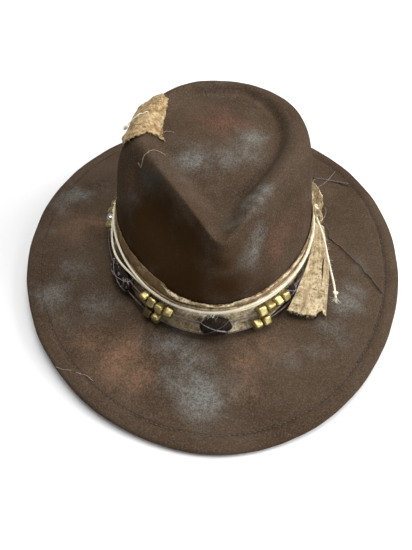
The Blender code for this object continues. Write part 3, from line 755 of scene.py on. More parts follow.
def cotton_finish(name, ground, pale, stain, dark, stained=0.0):
    """Hand-dyed cotton: a pale ground mottled with stains and small dark marks, over a plain weave, darkened
    where a mask gives soil and painted shade.
    """
    f = Finish(name, 0.9)
    clouds = f.noise(0.0048, 5.0, 0.76, 0.4)
    blots = f.noise(0.016, 3.0, 0.6, 1.2)
    shade = f.mix(f.step(clouds, 0.40, 0.62), ground, pale)
    shade = f.mix(f.times(f.step(blots, 0.62 - stained, 0.82 - stained), 0.8), shade, stain)
    specks = f.times(f.patches(0.0018, 0.55, 0.64, 3.0, 0.65), f.step(clouds, 0.66, 0.42))
    shade = f.mix(f.times(specks, 0.85), shade, dark)
    # Soil and painted shade on the band's turns on the wearer's right, where the mask says.
    shade = f.mix(f.times(f.mask("soil_and_shade"), f.step(blots, 0.10, 0.55)), shade, stain)
    shade = f.mix(f.times(f.mask("blush"), f.step(clouds, 0.25, 0.70)), shade, (0.36, 0.185, 0.120))
    weave = f.plus(f.threads(0.0009, "X"), f.threads(0.0009, "Y"))
    shade = f.mix(f.times(f.step(weave, 0.9, 0.3), 0.25), shade, dark)
    rumples = f.bump(f.noise(0.0035, 3.0), 0.5, 0.0008, f.bump(weave, 0.5, 0.00025))
    sheen = {"Sheen Weight": 0.04, "Sheen Roughness": 0.5, "Sheen Tint": (1.0, 0.93, 0.8)}
    return f.done(shade, rumples, {"Specular IOR Level": 0.15, **sheen})


def brass_finish(name, bright, tarnished, dullness):
    """Dull, rubbed metal, darker in patches."""
    f = Finish(name, dullness, 1.0)
    shade = f.mix(f.patches(0.0034, 0.42, 0.70, 3.0, 0.6), bright, tarnished)
    shade = f.mix(f.times(f.patches(0.0008, 0.60, 0.70), 0.7), shade, (0.11, 0.08, 0.035))
    rubbed = f.plus(f.times(f.noise(0.0016), 0.35), dullness - 0.17)
    stretched = f.node("ShaderNodeVectorMath", {0: f.place, 1: (1.0, 0.25, 1.0)}, operation="MULTIPLY")
    scratches = f.bump(f.noise(0.0010, place=stretched.outputs[0]), 0.35, 0.0002)
    return f.done(shade, scratches, {"Roughness": rubbed})


def wood_finish():
    f = Finish("dark_wood", 0.80)
    rings = f.noise(0.0013, 4.0, 0.6, 1.0)
    shade = f.mix(f.step(rings, 0.42, 0.72), (0.0035, 0.0018, 0.0010), (0.052, 0.027, 0.013))
    return f.done(shade, f.bump(rings, 0.9, 0.0009), {"Specular IOR Level": 0.25})


def leather_finish():
    f = Finish("sweatband_leather", 0.5)
    creases = f.node("ShaderNodeTexVoronoi", {"Vector": f.place, "Scale": 1 / 0.0011}).outputs["Distance"]
    shade = f.mix(f.patches(0.03, 0.3, 0.7, 3.0), (0.16, 0.083, 0.042), (0.24, 0.13, 0.066))
    shade = f.mix(f.times(f.step(creases, 0.35, 0.6), 0.4), shade, (0.08, 0.04, 0.02))
    return f.done(shade, f.bump(f.noise(0.0006), 0.2, 0.0002, f.bump(creases, 0.5, 0.0003)))


def ribbon_finish():
    f = Finish("grosgrain_ribbon", 0.6)
    ribs = f.threads(0.0008, "X")
    return f.done(f.mix(ribs, (0.018, 0.012, 0.010), (0.050, 0.035, 0.028)), f.bump(ribs, 0.6, 0.0003))


def steel_finish():
    f = Finish("spring_steel", 0.3, 1.0)
    return f.done(f.mix(f.noise(0.002), (0.40, 0.40, 0.41), (0.55, 0.55, 0.56)))


def floor_finish():
    """Pale paper that fades into the white surroundings away from the hat, for the camera only."""
    f = Finish("floor_paper", 0.9)
    away = f.node("ShaderNodeVectorMath", {0: f.place}, operation="LENGTH").outputs["Value"]
    seen = f.node("ShaderNodeLightPath").outputs["Is Camera Ray"]
    glow = f.times(f.step(away, 0.22, 0.60), seen)
    paper = f.mix(f.noise(0.4), (0.86, 0.86, 0.86), (0.89, 0.89, 0.89))
    return f.done(paper, None, {"Emission Color": (1.0, 1.0, 1.0), "Emission Strength": glow})


# ---------------------------------------------------------------- felt


def paint_masks(points):
    """How much of each paint lies at each point, from 0 to about 1. The umber one is partly painted shade."""
    wander = np.stack([ripple(points, 0.022, seed) for seed in (11, 12, 13)], -1) * 0.0035
    masks = {}
    for name, marks in PAINT_MARKS.items():
        masks[name] = np.zeros(points.shape[:-1])
        for x, y, z, radius, strength in marks:
            away = np.linalg.norm((points + wander) * 1000 - (x, y, z), axis=-1) / radius
            masks[name] = np.maximum(masks[name], strength * np.exp(-1.1 * away**2))
    return masks


def felt_centre():
    middle = (CROWN[-1][3] - CROWN[-1][2]) / 2
    return np.array((NOSE_SHIFT * 0.1, middle, BREAK_Z + CROWN_CENTRE_RISE))


def felt_rows():
    """Rings of the felt's outer face from the fold's raw edge up to the crown, and their crown levels."""
    angle = ring_angles()
    fold = 2 * FELT + FOLD_GAP
    rows = [brim_inside_edge(angle, inset, fold) for inset in (FOLD_WIDTH, 0.0118, 0.0106)]
    for inset, share in ((0.0100, 0.3), (0.0094, 0.75), (0.0086, 1.0), (0.0068, 1.0), (0.0050, 1.0)):
        rows.append(brim_inside_edge(angle, inset, fold + (2 * BEND_OUTSIDE - fold) * share))
    for turn in np.radians(range(180, -1, -15)):
        inset, down = BEND_OUTSIDE * (1 - np.sin(turn)), BEND_OUTSIDE * (1 - np.cos(turn))
        rows.append(brim_inside_edge(angle, inset, down))
    for inset in np.arange(0.0045, 0.0170, 0.00055):
        groove = 0.00075 * bell(inset, STITCH_INSET, 0.0009)
        swell = 0.0006 * bell(inset, 0.0070, 0.0028)
        pucker = 0.00018 * np.sin(angle * 290) * bell(inset, STITCH_INSET, 0.0016)
        rows.append(brim_inside_edge(angle, inset, groove - swell + pucker))
    start = 1 - 0.0180 / brim_width(angle)
    end = BREAK_RADIUS / brim_width(angle)
    rows += [brim(angle, start + (end - start) * step) for step in np.linspace(0, 1, 26)[:-1]]
    rows += [bend(angle, turn, 0.0) for turn in np.linspace(90, 0, 9)[:-1]]
    below = len(rows)
    levels = np.concatenate((np.linspace(0, 5, 46)[:-1], np.linspace(5, 9, 52)[:-1], np.linspace(9, 10, 9)))
    rows += [crown(angle, np.full_like(angle, level)) for level in levels]
    middle = felt_centre()
    for share in (0.75, 0.5, 0.25):
        row = middle + (rows[-1] - middle) * share / (share + 0.25)
        row[..., 2] = row[..., 2] * 0.5 + middle[2] * 0.5
        rows.append(row)
    return np.stack(rows), np.concatenate((np.zeros(below), levels, (10, 10, 10)))


def soften(grid, level):
    """Rounds the rim and the nose the way handling does, most of all on the front and the +X side."""
    degrees = signed_degrees(ring_angles())
    around = sum(share * bell(degrees, middle, width) for share, middle, width in SOFT_SIDES)
    reach = np.clip((level - SOFT_FROM_LEVEL) / 1.2, 0, 1) * np.clip((9.6 - level) / 1.0, 0, 1)
    weight = 0.5 * reach[1:-1, None, None] * np.clip(around, 0.10, 1)[None, :, None]
    for _ in range(SOFT_PASSES):
        middle = (grid[:-2] + grid[2:]) / 2
        grid[1:-1] += (middle - grid[1:-1]) * weight


def fill_out(grid, level):
    """Lifts the crown's hollow towards the back, and fills out the rim at the back of the +X side."""
    angle = ring_angles()
    degrees = signed_degrees(angle)
    grid[..., 2] += BACK_FILL * bell(level, 7.9, 1.0)[:, None] * bell(degrees, 70, 62)
    push = SHOULDER_FILL * bell(level, 5.6, 1.7)[:, None] * bell(degrees, 25, 33)
    grid[..., 0] += push * np.cos(angle)
    grid[..., 1] += push * np.sin(angle)


def press_dents(grid):
    outward = normals(grid)
    for centre, radius, depth in DENTS:
        away = np.linalg.norm(grid - np.array(centre), axis=-1) / radius
        grid -= outward * (depth * np.exp(-1.5 * away**2))[..., None]


def press_crease(grid):
    """Sharpens the fold between the rim and the raised middle of the crown."""
    line = curve_through(CREASE, 90)
    along = np.linspace(0, 1, len(line))
    depth = CREASE_DEPTH * np.clip(0.70 + 1.2 * along, 0, 1) * np.clip((1 - along) / 0.12, 0, 1)
    dip = np.zeros(grid.shape[:-1])
    for (x, y), deep in zip(line, depth):
        dip = np.maximum(dip, deep * bell(np.hypot(grid[..., 0] - x, grid[..., 1] - y), 0.0, CREASE_WIDTH))
    grid[..., 2] -= dip * (grid[..., 2] > CREASE_LOWEST)


def build_felt(look):
    outer, level = felt_rows()
    soften(outer, level)
    fill_out(outer, level)
    press_dents(outer)
    press_crease(outer)
    outward = normals(outer)
    flat = np.clip(outer[..., 2:3] / 0.004, 0, 1)
    uneven = ripple(outer, 0.055, 1) * 0.00045 + ripple(outer, 0.018, 2) * 0.00012
    outer = outer + outward * uneven[..., None] * flat
    inner = outer - outward * FELT
    rows, columns = outer.shape[:2]
    middles = [felt_centre(), felt_centre() - (0, 0, FELT)]
    points = np.concatenate((outer.reshape(-1, 3), inner.reshape(-1, 3), middles))
    shift = rows * columns
    faces = grid_faces(rows, columns)
    faces += [tuple(reversed(quad)) for quad in grid_faces(rows, columns, True, shift)]
    top, bottom = 2 * shift, 2 * shift + 1
    last = shift - columns
    for c in range(columns):
        d = (c + 1) % columns
        faces.append((last + c, last + d, top))
        faces.append((shift + last + d, shift + last + c, bottom))
        faces.append((d, c, shift + c, shift + d))
    mesh = mesh_of("felt_shell", points, faces)
    underside = (outer[..., 2] < BREAK_Z - 0.004) & (outward[..., 2] < -0.2)
    for name, mask in paint_masks(outer).items():
        full = np.zeros(len(points))
        full[:shift] = np.where(underside, 0.0, mask).ravel()
        set_mask(mesh, "paint_" + name, full)
    add_object("felt_shell", mesh, "felt_hat", look, "felt_body")


def set_mask(mesh, name, values):
    attribute = mesh.attributes.new(name, "FLOAT", "POINT")
    attribute.data.foreach_set("value", np.asarray(values, np.float32).ravel())


def build_brim_stitches(look):
    """Separate short stitches in the groove inside the brim's edge, above and below."""
    angle = ring_angles(1440)
    across = np.array((0.0, 0.18, 0.5, 0.82, 1.0)) * STITCH_PITCH * 0.62
    for side, down, up in (("top", 0.00045, 1), ("underside", 2 * FELT + FOLD_GAP + 0.0001, -1)):
        line = brim_inside_edge(angle, STITCH_INSET, down)
        line = np.concatenate((line, line[:1]))
        length = lengths_along(line)
        count = int(length[-1] / STITCH_PITCH)
        paths = []
        for start in np.arange(count) * length[-1] / count:
            path = np.stack([np.interp(start + across, length, line[:, k]) for k in range(3)], -1)
            path[:, 2] += np.array((-0.0004, 0.0001, 0.0003, 0.0001, -0.0004)) * up
            paths.append(path)
        tubes("brim_stitches_" + side, paths, 0.00032, "felt_hat", look, "brim_stitching_" + side)


def build_brim_wire(look):
    """The spring wire inside the folded edge."""
    path = brim_inside_edge(ring_angles(), BEND_OUTSIDE, FELT + 0.0012)
    tubes("brim_spring_wire", [path], 0.0006, "felt_hat", look, "brim_wire", sides=8, closed=True)


# ---------------------------------------------------------------- sweatband


def build_sweatband(leather, sewing, ribbon):
    """Leather band with its reed, its seam of small stitches and a ribbon bow at the back."""
    angle = ring_angles(SWEATBAND_STEPS)
    outer = ((SWEATBAND_LOW, 0.0), (0.0060, 0.0), (0.0120, 0.0001), (0.0190, 0.0), (0.0270, 0.0001))
    top = ((SWEATBAND_HIGH, 0.0), (SWEATBAND_HIGH + 0.0003, SWEATBAND / 2), (SWEATBAND_HIGH, SWEATBAND))
    inner = tuple((rise, depth + SWEATBAND) for rise, depth in reversed(outer))
    rows = []
    for rise, depth in outer + top + inner:
        sag = ripple(inside_crown(angle, rise, 0.0), 0.05, 21) * 0.00025
        rows.append(inside_crown(angle, rise, -SWEATBAND_INSET - depth + sag))
    band = grid_mesh("sweatband_leather", rows + rows[:1])
    add_object("sweatband_leather", band, "felt_hat", leather, "sweatband")
    seat = inside_crown(angle, SWEATBAND_LOW - 0.0010, -SWEATBAND_INSET - SWEATBAND / 2)
    tubes("sweatband_piping", [seat], 0.0007, "felt_hat", leather, "sweatband_reed", sides=8, closed=True)
    dense = inside_crown(ring_angles(900), SWEATBAND_LOW + 0.0025, -SWEATBAND_INSET - SWEATBAND - 0.0004)
    paths = [dense[start:start + 5] for start in range(0, 895, 6)]
    tubes("sweatband_seam", paths, 0.00028, "felt_hat", sewing, "sweatband_stitching", sides=5)
    back = np.array(math.pi / 2)
    build_bow(ribbon, inside_crown(back, SWEATBAND_LOW + 0.0120, -SWEATBAND_INSET - SWEATBAND))


def build_bow(look, seat):
    """Two flattened ribbon loops pinched under a small wrapped knot."""
    rows, columns = 7, 41
    points = []
    for side in (-1, 1):
        turn = np.linspace(0, TAU, columns)
        x = side * (0.0062 - 0.0062 * np.cos(turn))
        depth = 0.0012 + 0.0009 * np.sin(turn) * np.sin(turn / 2)
        half = 0.0014 + 0.0034 * np.sin(turn / 2) ** 0.8
        for v in np.linspace(-1, 1, rows):
            y = seat[1] - depth - x * x / (2 * HEAD_HALF_WIDTH) - 0.0002 * v * v
            points.append(np.stack((x, y, seat[2] + half * v), -1))
    faces = grid_faces(rows, columns, False) + grid_faces(rows, columns, False, rows * columns)
    uv = np.stack(np.meshgrid(np.linspace(0, 0.026, columns), np.linspace(0, 0.009, rows)), -1)
    mesh = mesh_of("ribbon_bow", points, faces, np.tile(uv, (2, 1, 1)))
    add_object("ribbon_bow", mesh, "felt_hat", look, "sweatband_bow", thickness=0.0004)
    turn = ring_angles(16)
    x, z = 0.0020 * np.cos(turn), 0.0024 * np.sin(turn)
    knot = []
    for size, depth in ((0.9, 0.0), (1.0, 0.0006), (0.85, 0.0011), (0.45, 0.0013), (0.01, 0.0013)):
        knot.append(np.stack((x * size, seat[1] - 0.0014 - depth + 0 * turn, seat[2] + z * size), -1))
    add_object("ribbon_knot", grid_mesh("ribbon_knot", knot), "felt_hat", look)


# ---------------------------------------------------------------- hat band


def upper_wrap_top(angle):
    """The upper wrap's torn top edge: low in front, between two torn steps, and high elsewhere."""
    degrees = signed_degrees(angle)
    notch = 1 / (1 + np.exp(-(degrees + 116) / 0.8)) / (1 + np.exp((degrees + 18) / 9.0))
    wave = 0.0016 * np.sin(2 * angle + 0.6) + 0.0009 * np.sin(5 * angle)
    torn = 0.00035 * np.sin(61 * angle) * np.sin(23 * angle + 1) + 0.00018 * np.sin(173 * angle)
    return BAND_HIGH + wave + torn - 0.0026 * notch


def build_wrap(name, look, low, high, lift, rows, seed, lean, soil_and_shade, replaces=None):
    """One turn of the band between two rises, with soft creases that run along it. It is darkened on the
    wearer's right, beside and in front of the long bound bead, partly as soil and partly as painted shade."""
    angle = ring_angles(2 * ROUND_STEPS)
    share = np.linspace(0, 1, rows)[:, None]
    foot = BREAK_RADIUS * (math.pi / 2 - 1)
    climb = (low + foot) * (1 - share) + (high + foot) * share
    creases = np.zeros_like(climb)
    rng = np.random.default_rng(seed)
    for _ in range(9):
        slope, size, phase = rng.normal() * 0.12, rng.uniform(0.004, 0.010), rng.uniform(0, TAU)
        strong = 0.5 + 0.5 * np.sin(angle * rng.integers(2, 7) + phase * 3)
        creases += np.sin((climb + slope * 0.06 * np.sin(angle * 3 + phase)) * TAU / size + phase) * strong
    puckers = np.sin(angle * 95 + 3 * np.sin(angle * 11)) * bell(share, 0.5, 0.5)
    out = lift + creases * 0.00011 * (1 - 0.6 * share) + puckers * 0.00005 + lean(share, angle)
    grid = skin(angle, climb, out)
    uv = np.stack(np.broadcast_arrays(angle * 0.09, climb), -1)
    wrap = cloth_sheet(name, grid, "hat_band", look, replaces, closed=True, uv=uv)
    degrees = signed_degrees(np.broadcast_to(angle, climb.shape))
    set_mask(wrap.data, "soil_and_shade", soil_and_shade * np.exp(-(((degrees + 140) / 42) ** 4)))
    return wrap, degrees


def build_band(upper_look, lower_look):
    angle = ring_angles(2 * ROUND_STEPS)

    def lean_out(share, angle):
        """The upper wrap's top edge stands off the felt a little."""
        return 0.0008 * np.clip((share - 0.6) / 0.4, 0, 1) ** 2 * (0.5 + 0.5 * np.sin(angle * 5 + 2))

    def roll_out(share, angle):
        """The lower wrap's top edge rolls outward."""
        return 0.0007 * np.clip((share - 0.8) / 0.2, 0, 1) ** 2 * (0.6 + 0.4 * np.sin(angle * 9))

    wrap, degrees = build_wrap("band_wrap_upper", upper_look, 0.0170 + 0 * angle, upper_wrap_top(angle),
                               0.00065, 22, 31, lean_out, 0.85, "cloth_band")
    set_mask(wrap.data, "blush", 0.75 * bell(degrees, -45, 24))
    foot = -0.0008 - 0.0030 * np.maximum(0, -np.sin(angle)) ** 4
    foot += 0.0005 * np.sin(7 * angle) + 0.0003 * np.sin(41 * angle)
    top = 0.0272 + 0.0007 * np.sin(3 * angle + 1)
    top += 0.0003 * np.sin(17 * angle) + 0.00015 * np.sin(131 * angle)
    build_wrap("band_wrap_lower", lower_look, foot, top, 0.00155, 30, 32, roll_out, 0.80)
    build_rolled_hem(lower_look)
    build_frayed_edge(upper_look)


def build_rolled_hem(look):
    """The torn top edge rolled into a thin uneven hem across the front."""
    steps, sides = 260, 12
    angle = np.radians(np.linspace(-119, -20, steps))
    share = np.linspace(0, 1, steps)
    rise = upper_wrap_top(angle) - 0.0004 + 0.0006 * np.sin(share * 31)
    path = wall(angle, rise, 0.0020 + 0.0004 * np.sin(share * 23))
    radius = 0.0009 + 0.0008 * bell(share, 0, 0.22)
    radius += 0.00025 * np.sin(share * 17) + 0.0002 * np.sin(share * 53)
    radius = np.maximum(radius * np.minimum(1, 12 * share) * np.minimum(1, 10 * (1 - share)), 0.0001)
    points, faces = tube(path, radius, sides, HEM_TWIST, flat=0.75)
    uv = np.stack((np.repeat(share * 0.16, sides), np.tile(np.arange(sides) * 0.0005, steps)), -1)
    add_object("band_hem", mesh_of("band_hem", points, faces, uv), "hat_band", look)


def build_frayed_edge(look):
    """Short fibres along the band's torn top edge."""
    rng = np.random.default_rng(41)
    angle = rng.uniform(0, TAU, 520)
    starts = wall(angle, upper_wrap_top(angle) - 0.0004, 0.0012)
    ways = np.stack((np.cos(angle) * 0.3, np.sin(angle) * 0.3, 1 + 0 * angle), -1)
    ways = ways + rng.normal(size=(520, 3)) * 0.6
    fibres("band_fray", starts, ways, (0.0008, 0.0024), FRAY, "hat_band", look, rng, 42, steps=4)


def build_cord(look):
    """Soft cream cord of three twisted yarns, wound twice, with loose fibres standing off it."""
    first = math.radians(KNOT_ANGLE + 6)
    last = math.radians(KNOT_ANGLE - 6) + 2 * TAU
    share = np.linspace(0, 1, 1500)
    angle = first + (last - first) * share
    degrees = signed_degrees(angle)
    cross_over = np.clip((share - 0.47) / 0.06, 0, 1)
    spread = CORD_SPACING + CORD_PARTING * np.maximum(0, -np.cos(angle)) ** 3
    spread = spread * (1 - CORD_CLOSING * bell(degrees, -108, 27))
    wander = 0.00025 * np.sin(angle * 8.3) + 0.00015 * np.sin(angle * 21.7)
    over_bead = (1 - cross_over) * bell(degrees, -155, 15)
    rise = CORD_RISE + (cross_over - 0.5) * spread + wander - 0.0022 * over_bead
    path = on_band(angle, rise, 2 * GAP + CORD_RADIUS + CORD_OVER_BEAD * over_bead)
    tubes("cord_turns", [path], CORD_RADIUS, "hat_band", look, "cream_cord", sides=15, twist=CORD_TWIST)
    rng = np.random.default_rng(51)
    pick = rng.integers(2, len(path) - 2, 560)
    away = unit(path[pick] * (1, 1, 0))
    ways = away * 0.8 + rng.normal(size=(560, 3)) * 0.7
    starts = path[pick] + away * CORD_RADIUS * 0.7
    fibres("cord_fuzz", starts, ways, (0.0012, 0.0042), FUZZ, "hat_band", look, rng, 52, sides=3)
    angle = np.radians(rng.normal(-93, 6, FRONT_WISPS))
    starts = on_band(angle, CORD_RISE, 2 * GAP + 1.6 * CORD_RADIUS)
    ways = (0.0, -0.75, -1.0) + rng.normal(size=(FRONT_WISPS, 3)) * (1.1, 0.25, 0.5)
    fibres("cord_wisps", starts, ways, (0.003, 0.008), FRAY, "hat_band", look, rng, 53, curl=0.9)


def build_strands(look):
    """The two waxed strands that the beads hang on, each of two twisted plies."""
    first = math.radians(KNOT_ANGLE + 7)
    last = math.radians(KNOT_ANGLE - 7) + TAU
    for which in STRAND_RISE:
        path = strand(which, np.linspace(first, last, 700))
        tubes("waxed_strand_" + which, [path], 0.00058, "hat_band", look, "bead_thread_" + which,
              sides=10, twist=STRAND_TWIST)


# ---------------------------------------------------------------- beads


def square_outline(half, rounding):
    """Points round a rounded square: the corner circle's centre and the outward direction for each."""
    core = half - rounding
    places, ways = [], []
    for turn in ring_angles(4):
        out = np.array((math.cos(turn), math.sin(turn)))
        along = np.array((-math.sin(turn), math.cos(turn)))
        for s in np.linspace(-1, 1, 5):
            places.append(core * (out + s * along))
            ways.append(out)
        for lean in np.linspace(0, math.pi / 2, 5)[1:-1]:
            places.append(core * (out + along))
            ways.append(math.cos(lean) * out + math.sin(lean) * along)
    return np.array(places), np.array(ways)


def bead_grid(half, rounding, bore):
    """Rings of a rounded square bead drilled along X, from the bore out over one face and back."""
    places, ways = square_outline(half, rounding)
    radial = unit(places + ways * rounding)
    mouth = radial * (bore + 0.00040)
    rings = [(-half * 0.5, radial * bore), (-half * 0.90, radial * bore)]
    rings.append((-half * 0.975, radial * (bore + 0.00012)))
    rings += [(-half, mouth + (places - mouth) * share) for share in (0.0, 0.45, 1.0)]
    for lean in np.linspace(0, math.pi / 2, 5)[1:]:
        rings.append((-half + rounding * (1 - math.cos(lean)), places + ways * rounding * math.sin(lean)))
    rings += [(0.0, places + ways * rounding)] + [(-x, ring) for x, ring in reversed(rings)]
    rows = [np.concatenate((np.full((len(ring), 1), x), ring), 1) for x, ring in rings]
    return np.stack(rows + rows[:1])


def build_brass_beads(brass, darkened, highlight):
    """Worn brass beads, each turned about its strand and each a little different."""
    joints = {joint["child"]: joint for joint in frame["joints"]}
    looks = {DARKENED_BEAD: darkened, HIGHLIGHT_BEAD: highlight}
    rng = np.random.default_rng(61)
    for number in range(1, 17):
        joint = joints[f"bead_{number:02d}"]
        rounding = BEAD_ROUNDING + rng.uniform(0.0003, 0.0010)
        grid = bead_grid(BEAD_SIDE / 2, rounding, BEAD_BORE) * (1.0, BEAD_SWELL, BEAD_SWELL)
        shifted = grid + rng.uniform(0, 1, 3)
        dents = ripple(shifted, 0.0045, 62 + number) * 0.00010 + ripple(shifted, 0.0014, 90) * 0.00002
        grid = grid * (1 + (dents / (BEAD_SIDE / 2))[..., None])
        turn = Vector(joint["axis"]).to_track_quat("X", "Z").to_matrix().to_4x4()
        roll = Matrix.Rotation(math.radians(37 * (number - 1) % 90), 4, "X")
        name = f"bead_brass_{number:02d}"
        add_object(name, grid_mesh(name, grid), f"bead_{number:02d}", looks.get(number, brass),
                   f"brass_bead_{number:02d}", place=Matrix.Translation(joint["pos_m"]) @ turn @ roll)


def build_bound_beads(dark, over, waxed, pale):
    """Dark carved beads bound to the strands with crossed threads."""
    for name, (degrees, half, tilts) in BOUND_BEADS.items():
        angle = math.radians(degrees)
        along = unit(strand("upper", angle + 0.01) - strand("upper", angle - 0.01))
        upper, lower = strand("upper", angle), strand("lower", angle)
        out = unit(np.cross(along, upper - lower))
        axes = np.stack((along, np.cross(out, along), out), 1)
        centre = upper if name == "right" else (upper + lower) / 2
        if name == "front":
            centre = centre + axes[:, 1] * FRONT_BEAD_RISE
        ball, grid = ball_grid(half, 28, 44)
        seed = 70 + len(name)
        carved = ripple(grid, 0.0050, seed) * 0.00050 + ripple(grid, 0.0022, seed + 1) * 0.00036
        points = centre + (grid + ball * carved[..., None]) @ axes.T
        mesh = grid_mesh("bound_bead_" + name, points, capped=True)
        add_object("bound_bead_" + name, mesh, "hat_band", dark, "wrapped_bead_" + name)
        piece = "binding_" + name
        build_binding(piece, centre, axes, half, tilts[0], over, name == "front", "wrap_thread_" + name)
        under = waxed if name == "front" else over
        build_binding(piece + "_under", centre, axes, half, tilts[1], under, name == "front")
        if name == "left":
            build_squiggles(centre, axes, half, pale)


def build_binding(name, centre, axes, half, tilt, look, pulled, replaces=None):
    """A pair of threads round a bound bead. Pulled ones sink a little at one end."""
    turn = ring_angles(72)
    lean = math.radians(tilt)
    flat = np.stack((np.cos(turn) * math.cos(lean), np.cos(turn) * math.sin(lean), np.sin(turn)), -1)
    loop = flat / np.sqrt(np.sum((flat / (np.array(half) + 0.00045)) ** 2, -1, keepdims=True))
    if pulled:
        loop = loop * (1 - 0.07 * np.abs(np.cos(turn - 0.25)) ** 3)[:, None]
    paths = []
    for offset in (-0.00035, 0.00035):
        path = loop + (offset * math.sin(lean) * 3, offset, 0)
        path[:, 2] += ripple(path, 0.006, 77 + tilt) * 0.0001
        paths.append(centre + path @ axes.T)
    tubes(name, paths, 0.00026, "hat_band", look, replaces, sides=8, twist=BINDING_TWIST, closed=True)


def build_squiggles(centre, axes, half, look):
    """Small curls of pale thread caught on the left bead."""
    rng = np.random.default_rng(81)
    paths = []
    for _ in range(40):
        spot = rng.normal(size=3) * (1.0, 0.6, 0.5)
        spot[2] = abs(spot[2]) + 0.2
        turn = np.linspace(0, rng.uniform(3.5, 6.0), 16) + rng.uniform(0, TAU)
        size = rng.uniform(0.0007, 0.0014)
        curl = np.stack((np.cos(turn) * size, np.sin(turn) * size, 0 * turn), -1) + unit(spot) * half
        curl = curl / np.sqrt(np.sum((curl / half) ** 2, -1, keepdims=True)) * 1.06
        paths.append(centre + curl @ axes.T)
    tubes("pale_curls", paths, 0.00011, "hat_band", look, sides=5)


# ---------------------------------------------------------------- knots, ends and tails


def build_cloth_knot(look):
    """A pulled overhand knot: a pleated lump with one pass of cloth wound over it."""
    angle = math.radians(KNOT_ANGLE)
    axes = band_axes(angle)
    centre = on_band(angle, 0.0125, 0.0085)
    ball, grid = ball_grid((0.0058, 0.0075, 0.0043), 40, 64)
    pleats = np.sin(9 * np.arctan2(ball[..., 0], ball[..., 2]) + 2.5 * ball[..., 1]) * 0.00045
    lumps = ripple(grid, 0.006, 101) * 0.0004 - 0.0010 * bell(ball[..., 1], 0, 0.25)
    grid = grid + ball * (pleats + lumps)[..., None]
    mesh = grid_mesh("knot_pleats", centre + grid @ axes.T, capped=True, uv=grid[..., :2])
    add_object("knot_pleats", mesh, "hat_band", look, "cloth_knot")
    turn = ring_angles(96)
    rows = []
    for v in np.linspace(-1, 1, 13):
        swell = 0.0003 + 0.0011 * math.cos(v * math.pi / 2) ** 0.6
        swell = swell + 0.00025 * np.sin(v * 9 + np.sin(turn * 3))
        x, z = np.cos(turn) * (0.0052 + swell), np.sin(turn) * (0.0040 + swell)
        rows.append(centre + np.stack((x, v * 0.0026 + 0.0016 * np.cos(turn), z), -1) @ axes.T)
    uv = np.stack(np.broadcast_arrays(turn[None] * 0.006, np.linspace(0, 0.006, 13)[:, None]), -1)
    add_object("knot_pass", grid_mesh("knot_pass", rows, uv=uv), "hat_band", look)


def build_short_end(look):
    """The cloth's short end: a leaf folded down its length, standing off the band behind the knot."""
    share, across = np.meshgrid(np.linspace(0, 1, 60), np.linspace(0, 1, 40), indexing="ij")
    angle = np.radians(np.interp(share, (0, 1), SHORT_END_ANGLES))
    inner = on_band(angle, np.interp(share, (0, 1), SHORT_END_RISES), 0.0046)
    width = curve_through(SHORT_END_EDGE, 60)[:, None] - inner
    torn = 0.03 * np.sin(share * 37) + 0.02 * np.sin(share * 101)
    pleats = 0.0012 * np.sin(across * 5.5 + share * 4) + 0.0004 * np.sin(across * 17 + 5 * share)
    out = np.array((0.0, -0.62, 0.78))
    front = inner + width * (across * (1 + torn))[..., None] + out * (pleats + 0.0016)[..., None]
    back = inner + width * (across * 0.86 * (1 - torn))[..., None] - out * (0.0012 - 0.5 * pleats)[..., None]
    cloth_sheet("short_end_fold", front, "hat_band", look, "cloth_short_end", HEAVY_SHEET)
    cloth_sheet("short_end_under", back, "hat_band", look, thickness=HEAVY_SHEET)


def tail_grid(first, last, rows, columns, lift, seed, end_wave, slit=0.0):
    """A strip of the cloth tail between two shares of its width, with folds that run from the knot.
    A slit pulls the strip's last edge back over part of its length."""
    along = np.linspace(0, 1, columns)[None]
    pulled = last - slit * bell(along, 0.52, 0.13)
    across = first + (pulled - first) * np.linspace(0, 1, rows)[:, None]
    travel = along * (1 - end_wave(across))
    inner, outer = bezier(TAIL_INNER_EDGE, travel), bezier(TAIL_OUTER_EDGE, travel)
    base = inner + (outer - inner) * across[..., None] + (0, 0, BREAK_Z)
    up = unit(np.cross((0, -1.0, 0), outer - inner))
    reach = np.sin(np.pi * np.clip(travel, 0, 1) ** 0.8) * 0.8 + 0.2 * (1 - travel)
    folds = 0.5 + 0.5 * np.sin(across * 15 + 1.2 * np.sin(travel * 4) + seed)
    fine = np.sin(across * 41 + 3 * np.sin(travel * 5 + seed)) * 0.5
    height = lift + (0.0028 * folds + 0.0007 * fine) * reach + ripple(base, 0.02, int(seed * 10) + 3) * 0.0003
    curl = 0.0016 * np.clip((along - 0.93) / 0.07, 0, 1) ** 2 * (0.3 + np.abs(across - 0.5))
    return base + up * (height + curl)[..., None]


def build_cloth_tail(look):
    """The cloth's long end: a wide strip, and a narrower torn strip beside it and partly under it."""
    def wide_end(across):
        torn = 0.0035 * np.sin(across * 53) + 0.002 * np.sin(across * 131)
        return 0.008 * np.sin(across * 6 + 0.6) ** 2 + torn

    def narrow_end(across):
        return 0.05 + 0.02 * np.sin(across * 23) + 0.005 * np.sin(across * 71)

    wide = tail_grid(0.0, WIDE_STRIP, 44, 90, 0.00132, 0.4, wide_end, 0.10)
    cloth_sheet("tail_strip_wide", wide[::-1], "cloth_tail", look, "cloth_tail", HEAVY_SHEET)
    narrow = tail_grid(WIDE_STRIP - 0.04, 1.04, 24, 80, 0.0006, 2.0, narrow_end)
    cloth_sheet("tail_strip_narrow", narrow[::-1], "cloth_tail", look)
    rng = np.random.default_rng(111)
    starts = np.concatenate((wide[:, -1][rng.integers(0, 44, 34)], wide[-1][rng.integers(10, 90, 34)]))
    ways = np.repeat(((-0.2, -1, 0.1), (1.0, -0.3, 0.2)), 34, 0) + rng.normal(size=(68, 3)) * 0.4
    fibres("tail_fray", starts, ways, (0.0010, 0.0035), FRAY, "cloth_tail", look, rng, 112)


